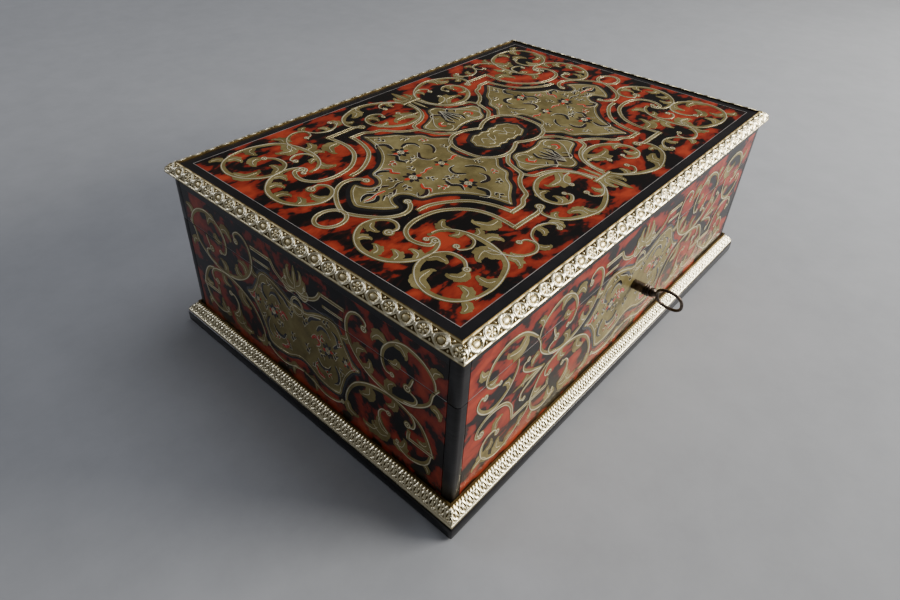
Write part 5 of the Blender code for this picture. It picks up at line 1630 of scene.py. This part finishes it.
@dataclass
class Casework:
    """The ebony bands under the lid's moulding, the worn edge of the joint, and the line round the top panel."""

    band: float = 7.2 * MM
    proud: float = 0.12 * MM
    worn: float = 0.4 * MM
    worn_proud: float = 0.04 * MM
    bed: float = 0.3 * MM  # how deep the bands are let in

    def bands(self) -> None:
        """Ebony under the lid's moulding, and a pale worn line along the joint."""
        low_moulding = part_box("lid_moulding_front")[0].z
        bands, worn = Shapes(), Shapes()
        for side, (_, out) in SIDES.items():
            low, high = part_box(f"lid_marquetry_{side}")
            for shapes, bottom, top, rise in (
                (bands, low_moulding - self.band, low_moulding - 0.1 * MM, self.proud),
                (worn, low.z, low.z + self.worn, self.worn_proud),
            ):
                a, b = Vector(low), Vector(high)
                axis = 0 if out[0] else 1
                face = b[axis] if out[axis] > 0 else a[axis]
                a[axis], b[axis] = sorted((face - out[axis] * self.bed, face + out[axis] * rise))
                a.z, b.z = bottom, top
                shapes.block(a, b)
        bands.piece("lid_ebony_bands", EBONISED, "lid", ease=0.1 * MM)
        worn.piece("lid_worn_edge", WORN_EDGE, "lid")

    def border_line(self) -> None:
        """The thin pale line between the top panel and its ebony border."""
        low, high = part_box("lid_marquetry_top")
        line = Shapes()
        wide = 0.35 * MM
        z0, z1 = high.z - 0.4 * MM, high.z + 0.03 * MM
        line.block((low.x, low.y, z0), (high.x, low.y + wide, z1))
        line.block((low.x, high.y - wide, z0), (high.x, high.y, z1))
        line.block((low.x, low.y + wide, z0), (low.x + wide, high.y - wide, z1))
        line.block((high.x - wide, low.y + wide, z0), (high.x, high.y - wide, z1))
        line.piece("lid_panel_edge", WORN_EDGE, "lid")

    def build(self) -> None:
        """Makes the bands and the line."""
        self.bands()
        self.border_line()


@dataclass
class KeyPiece:
    """The lock's key: an oval wire bow on a turned barrel, with a plain bit."""

    wire: float = 0.8 * MM
    barrel: float = 3.0 * MM
    bow_length: float = 16.5 * MM
    bow_width: float = 18 * MM
    squareness: float = 0.85  # of the bow: 1 is an ellipse
    turn: float = 22.0  # degrees from upright
    reach: float = 6.8 * MM  # of the bit, from the axis

    def build(self) -> None:
        """Makes the key in place of the plain one."""
        low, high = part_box("key")
        axis_z = (low.z + high.z) / 2
        shapes = Shapes()
        centre_y = low.y + self.bow_length / 2
        angles = np.arange(48) * math.pi / 24
        half_length, half_width = self.bow_length / 2 - self.wire, self.bow_width / 2 - self.wire
        oval = [
            (math.copysign(abs(math.cos(a)) ** self.squareness, math.cos(a)) * half_width,
             math.copysign(abs(math.sin(a)) ** self.squareness, math.sin(a)) * half_length)
            for a in angles
        ]
        tilt = math.radians(self.turn)
        path = np.array([(-w * math.sin(tilt), centre_y + d, axis_z + w * math.cos(tilt)) for w, d in oval])
        shapes.tube(path, self.wire * 1.15, 14, closed=True)
        collar = low.y + self.bow_length - 1.2 * MM
        end = high.y
        r = self.barrel
        # each ring's share of the barrel's radius, and how many millimetres it is from the bow
        neck = [
            (0.36, 0.0), (0.42, 0.5), (0.52, 1.0), (0.66, 1.6), (0.86, 2.2), (0.97, 2.8), (1.0, 3.4),
            (0.93, 4.0),
            (0.8, 4.3), (0.84, 4.5), (1.1, 4.7), (1.18, 5.1), (1.1, 5.5), (0.88, 5.7), (0.88, 5.9), (1.12, 6.1),
            (1.2, 6.5), (1.12, 6.9), (0.9, 7.1), (0.9, 7.3), (1.12, 7.5), (1.18, 7.9), (1.1, 8.3), (0.98, 8.6),
        ]
        profile = [(share * r, place * MM) for share, place in neck]
        profile += [(r, 9.2 * MM), (r, end - collar - 0.3 * MM), (0.85 * r, end - collar)]
        shapes.turned(profile, Vector((0, collar, axis_z)), Vector((0, 1, 0)), 36)
        foot = -self.reach / MM
        bit = np.array([(-0.8, foot), (0.8, foot), (0.8, -1.5), (-0.8, -1.5)]) * MM
        turn = Matrix.Rotation(-tilt, 3, "Y")
        rings = []
        for y in (end - 4.0 * MM, end - 0.2 * MM):
            rings.append([np.array(turn @ Vector((x, 0, z))) + np.array((0, y, axis_z)) for x, z in bit])
        shapes.loft(np.array(rings))
        piece = shapes.piece("key_forged", KEY_STEEL, "key", 50)
        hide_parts("key")


# ----------------------------------------------------- movement and hardware


@dataclass
class MovementTrim:
    """The small parts of the movement: pins, screws, washers, the click with its spring, and the fly's cap."""

    teeth: int = 36
    tunes: int = 3
    tune_shift: float = 0.9 * MM
    notes: int = 13
    pin_radius: float = 0.2 * MM
    pin_height: float = 0.55 * MM
    seed: int = 7

    def pins(self) -> None:
        """Steel pins in the brass cylinder, in one track for each tooth and tune."""
        low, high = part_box("pinned_cylinder")
        comb_low, comb_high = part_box("comb")
        sunk = 0.2 * MM  # how far a pin's foot is inside the cylinder
        centre = (low + high) / 2
        radius = (high.z - low.z) / 2
        pitch = (comb_high.x - comb_low.x) / self.teeth
        chance = np.random.default_rng(self.seed)
        corners = np.arange(5) * 2 * math.pi / 5
        ring = np.column_stack([np.cos(corners), np.sin(corners)]) * self.pin_radius
        shapes = Shapes()
        for track in range(self.teeth * self.tunes):
            tooth, tune = divmod(track, self.tunes)
            x = comb_low.x + (tooth + 0.5) * pitch + (tune - 1) * self.tune_shift
            for step in chance.choice(72, self.notes, replace=False):
                angle = math.radians(5 * step + 1.7 * tune)
                out = np.array((0, math.cos(angle), math.sin(angle)))
                side = np.array((0, -math.sin(angle), math.cos(angle)))
                foot = np.array((x, centre.y, centre.z)) + out * (radius - sunk)
                base = foot + ring[:, :1] * (1, 0, 0) + ring[:, 1:] * side
                tip = base + out * (self.pin_height + sunk)
                shapes.loft(np.array([base, tip]))
        shapes.piece("cylinder_pins", STEEL, "pinned_cylinder")

    def comb_screws(self) -> None:
        """Five screws on brass washers along the comb's heel."""
        low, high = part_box("comb")
        screws, washers = Shapes(), Shapes()
        for i, x in enumerate(np.linspace(low.x + 9 * MM, high.x - 9 * MM, 5)):
            seat = Vector((x, low.y + 5 * MM, high.z))
            rim = [(3.4 * MM, -0.2 * MM), (3.4 * MM, 0.5 * MM), (3.1 * MM, 0.8 * MM), (0.2 * MM, 0.8 * MM)]
            washers.turned(rim, seat, Vector((0, 0, 1)))
            screws.screw(seat + Vector((0, 0, 0.8 * MM)), Vector((0, 0, 1)), 2.5 * MM, 1.3 * MM, 25 + 47 * i)
        washers.piece("comb_washers", BRASS, "case")
        screws.piece("comb_screws", STEEL, "case")

    def bed_screws(self) -> None:
        """Screws through the bridges' feet, and through the bedplate's corners."""
        low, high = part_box("bedplate")
        shapes = Shapes()
        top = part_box("bridge_left")[0].z
        up = Vector((0, 0, 1))
        for i, (x, y) in enumerate(((low.x, low.y), (low.x, high.y), (high.x, low.y), (high.x, high.y))):
            inward = (9 * MM if x < 0 else -9 * MM, 9 * MM if y < 0 else -9 * MM)
            shapes.screw(Vector((x + inward[0], y + inward[1], top)), up, 3 * MM, 1.6 * MM, 30 * i)
        for i, name in enumerate(("bridge_left", "bridge_middle", "bridge_right")):
            a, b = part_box(name)
            x = a.x + 3.6 * MM if name == "bridge_right" else b.x - 3.6 * MM
            for j, y in enumerate((a.y + 5 * MM, b.y - 5 * MM)):
                shapes.screw(Vector((x, y, top + 2 * MM)), up, 2.1 * MM, 1.2 * MM, 40 * i + 70 * j)
        shapes.piece("bed_screws", STEEL, "case")

    def click(self) -> None:
        """The click that holds the ratchet, with its stud, screw and spring, on the left partition."""
        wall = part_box("partition_left")[0].x
        arbor_low, arbor_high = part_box("winding_arbor")
        centre = (arbor_low + arbor_high) / 2
        turn = np.eye(4)
        turn[:3, 0], turn[:3, 1], turn[:3, 2] = (0, 1, 0), (0, 0, 1), (1, 0, 0)
        turn[:3, 3] = (0, centre.y, centre.z)
        pawl = Shapes()
        corners = ((-16, 15), (-15.5, 10.5), (-12, 9.6), (-7, 11.6), (-3.2, 12), (-5, 14), (-9, 14.6), (-12, 16.4))
        outline = smooth_line(corners, 0.8, True)
        pawl.slab(outline * MM, wall - 4.5 * MM, wall - 2.6 * MM)
        steel = pawl.moved(turn)
        pivot = Vector((wall, centre.y - 13 * MM, centre.z + 13 * MM))
        outward = Vector((-1, 0, 0))
        steel.turned([(1.6 * MM, -0.2 * MM), (1.6 * MM, 2.4 * MM), (1.0 * MM, 2.7 * MM)], pivot, outward, 20)
        steel.screw(pivot - Vector((4.5 * MM, 0, 0)), outward, 2.2 * MM, 0.9 * MM, 35)
        wire = smooth_line(((-24, 22), (-21, 21.2), (-16, 19.4), (-11, 16.6), (-8, 15.1)), 1.0) * MM
        beside = np.full(len(wire), wall - 3.5 * MM)
        path = np.column_stack([beside, centre.y + wire[:, 0], centre.z + wire[:, 1]])
        steel.tube(path, 0.35 * MM)
        stud = Vector((wall, centre.y - 24 * MM, centre.z + 22 * MM))
        steel.turned([(1.5 * MM, -0.2 * MM), (1.5 * MM, 4 * MM), (1.1 * MM, 4.5 * MM)], stud, outward, 20)
        steel.piece("click_and_spring", STEEL, "case")

    def endstone(self) -> None:
        """The cap over the fly's upper pivot."""
        low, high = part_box("fly")
        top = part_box("governor_frame")[1].z
        seat = Vector(((low.x + high.x) / 2, (low.y + high.y) / 2, top))
        cap = Shapes()
        rim = [(2.4, -0.1), (2.4, 0.8), (2.0, 1.1), (0.7, 1.2), (0.5, 0.9)]
        cap.turned([(r * MM, d * MM) for r, d in rim], seat, Vector(UP), 28)
        cap.piece("endstone_cap", BRASS, "case")

    def build(self) -> None:
        """Makes them all."""
        self.pins()
        self.comb_screws()
        self.bed_screws()
        self.click()
        self.endstone()


@dataclass
class Hardware:
    """The screws of the hinges and the lock."""

    radius: float = 1.7 * MM
    proud: float = 0.14 * MM

    def build(self) -> None:
        """Makes the screws."""
        for body, leaf, up in (("case", "hinge_leaf_case", 1), ("lid", "hinge_leaf_lid", -1)):
            shapes = Shapes()
            for side in ("left", "right"):
                low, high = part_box(f"{leaf}_{side}")
                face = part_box("case_wall_back")[1].z - 0.1 * MM if up > 0 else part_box("lid_frame")[0].z + 0.1 * MM
                for i, share in enumerate((0.15, 0.5, 0.85)):
                    x = low.x + (high.x - low.x) * share
                    seat = Vector((x, low.y + (3.4 if i == 1 else 5.6) * MM, face))
                    shapes.screw(seat, Vector((0, 0, up)), self.radius, self.proud, 30 + 50 * i)
            shapes.piece(f"{body}_hinge_screws", BRASS, body)
        low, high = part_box("lock_case")
        shapes = Shapes()
        for i, (x, z) in enumerate(((low.x, low.z), (low.x, high.z), (high.x, low.z), (high.x, high.z))):
            seat = Vector((x * 0.84, high.y, z + (3.6 * MM if i % 2 == 0 else -5 * MM)))
            shapes.screw(seat, Vector((0, 1, 0)), self.radius, 0.5 * MM, 55 * i)
        shapes.piece("lock_screws", BRASS, "case")


# ------------------------------------------------------------------ studio


@dataclass
class Studio:
    """The floor, the lights and the camera."""

    place: tuple[float, float, float] = (-0.3060, -0.2141, 0.2879)
    look_at: tuple[float, float, float] = (-0.0624, 0.0, 0.0537)
    roll: float = 1.94  # degrees
    lens: float = 26.1  # millimetres on a 36 mm sensor
    shift: Point = (0.0259, -0.0479)
    floor_reach: float = 4.0
    sky: float = 0.16  # the strength of the light from all round

    def camera(self) -> None:
        """The camera, above the front left corner."""
        data = bpy.data.cameras.new("camera")
        data.lens = self.lens
        data.sensor_width = 36
        data.shift_x, data.shift_y = self.shift
        data.clip_start = 0.01
        data.dof.use_dof = False
        obj = bpy.data.objects.new("camera", data)
        bpy.context.scene.collection.objects.link(obj)
        obj.location = self.place
        way = Vector(self.look_at) - Vector(self.place)
        turn = way.to_track_quat("-Z", "Y").to_matrix() @ Matrix.Rotation(math.radians(self.roll), 3, "Z")
        obj.rotation_euler = turn.to_euler()
        bpy.context.scene.camera = obj

    def light(self, name: str, place: tuple[float, float, float], size: Point, power: float, colour: str) -> None:
        """Adds a soft panel of light that faces the object.

        Args:
            name: its name.
            place: where it stands.
            size: its width and height in metres.
            power: in watts.
            colour: its sRGB hex value.
        """
        data = bpy.data.lights.new(name, "AREA")
        data.shape = "RECTANGLE"
        data.size, data.size_y = size
        data.energy = power
        data.color = srgb(colour)[:3]
        obj = bpy.data.objects.new(name, data)
        bpy.context.scene.collection.objects.link(obj)
        obj.location = place
        obj.rotation_euler = (Vector((0, 0, 0.05)) - Vector(place)).to_track_quat("-Z", "Y").to_euler()

    def build(self) -> None:
        """Makes the floor, the lights and the camera."""
        floor = bpy.data.meshes.new("floor")
        corners = [(x * self.floor_reach, y * self.floor_reach, 0) for x, y in ((-1, -1), (1, -1), (1, 1), (-1, 1))]
        floor.from_pydata(corners, [], [(0, 1, 2, 3)])
        floor.materials.append(FLOOR.material())
        obj = bpy.data.objects.new("floor", floor)
        obj.location.z = -0.5 * MM
        bpy.context.scene.collection.objects.link(obj)
        world = bpy.data.worlds.new("studio")
        world.use_nodes = True
        tree = world.node_tree
        feed(tree, tree.nodes["Background"], {"Color": srgb("#C6C4C0"), "Strength": self.sky})
        bpy.context.scene.world = world
        self.light("window", (1.0, -1.05, 0.55), (0.9, 0.6), 40, "#FFFAF2")
        self.light("overhead", (0.55, -0.2, 1.6), (1.1, 1.1), 12, "#F7F8FF")
        self.light("back", (-0.7, 1.9, 1.0), (0.9, 0.5), 9, "#EEF1FF")
        self.camera()


# -------------------------------------------------------------------- main


NODE_FINISHES = {
    SHELL: ("case_marquetry", "lid_marquetry"),
    EBONISED: ("base_board", "case_post", "lid_post", "lid_board"),
    OAK: ("case_wall", "lid_frame"),
    OAK_ACROSS: ("case_wall_left", "case_wall_right", "partition"),
    MOULDING: ("base_moulding", "lid_moulding"),
    BRASS: (
        "bridge", "comb_base", "governor_frame", "hinge_leaf", "lock_case", "strike_plate", "pinned_cylinder",
        "spring_barrel",
    ),
    STEEL: ("comb", "cylinder_arbor", "fly", "governor_wheel", "hinge_pin", "lock_bolt", "play_lever", "winding"),
    KEY_STEEL: ("key",),
    IRON: ("bedplate",),
    GLASS: ("glass_cover",),
}
WELD = 0.001 * MM  # points nearer than this are one
SMOOTH_ANGLE = math.radians(26)  # an edge that turns more than this stays sharp
EASED = 0.25 * MM  # how far the edges of the wood are rounded


def smoothing() -> bpy.types.NodeTree:
    """Nodes that shade round faces smoothly and keep the edges sharp."""
    tree = bpy.data.node_groups.new("smooth_by_angle", "GeometryNodeTree")
    tree.interface.new_socket("Geometry", in_out="INPUT", socket_type="NodeSocketGeometry")
    tree.interface.new_socket("Geometry", in_out="OUTPUT", socket_type="NodeSocketGeometry")
    start = add_node(tree, "NodeGroupInput").outputs[0]
    welded = add_node(tree, "GeometryNodeMergeByDistance", {"Geometry": start, "Distance": WELD}).outputs[0]
    faces = add_node(
        tree, "GeometryNodeSetShadeSmooth", {"Geometry": welded, "Shade Smooth": True}, domain="FACE"
    ).outputs[0]
    angle = add_node(tree, "GeometryNodeInputMeshEdgeAngle").outputs["Unsigned Angle"]
    gentle = add_node(
        tree, "FunctionNodeCompare", {0: angle, 1: SMOOTH_ANGLE}, data_type="FLOAT", operation="LESS_THAN"
    ).outputs[0]
    edges = add_node(
        tree, "GeometryNodeSetShadeSmooth", {"Geometry": faces, "Shade Smooth": gentle}, domain="EDGE"
    ).outputs[0]
    add_node(tree, "NodeGroupOutput", {0: edges})
    return tree


def dress_nodes() -> None:
    """Gives every CAD node its finish: the longest start of its name decides."""
    smooth = smoothing()
    rules = [(start, finish) for finish, starts in NODE_FINISHES.items() for start in starts]
    rules.sort(key=lambda rule: -len(rule[0]))
    for name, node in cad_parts.items():
        finish = next(finish for start, finish in rules if name.startswith(start))
        for slot in node.material_slots:
            slot.material = finish.material()
        if isinstance(finish, Wood) and name != "lid_board":
            weld = node.modifiers.new("welded", "WELD")
            weld.merge_threshold = WELD
            bevel = node.modifiers.new("eased", "BEVEL")
            bevel.width, bevel.segments, bevel.limit_method = EASED, 2, "ANGLE"
        node.modifiers.new("smooth", "NODES").node_group = smooth


def main() -> None:
    """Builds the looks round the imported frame."""
    logging.basicConfig(level=logging.INFO, format="%(message)s")
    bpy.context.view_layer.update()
    dress_nodes()
    TopPattern().build("lid_marquetry_top", "lid")
    SidePattern().build()
    LidMoulding("lid_moulding", "lid", 9.6, 0.9).build()
    BaseMoulding("base_moulding", "case", 5.2, 0.75).build()
    Casework().build()
    KeyPiece().build()
    MovementTrim().build()
    Hardware().build()
    Studio().build()


if __name__ == "__main__":
    main()
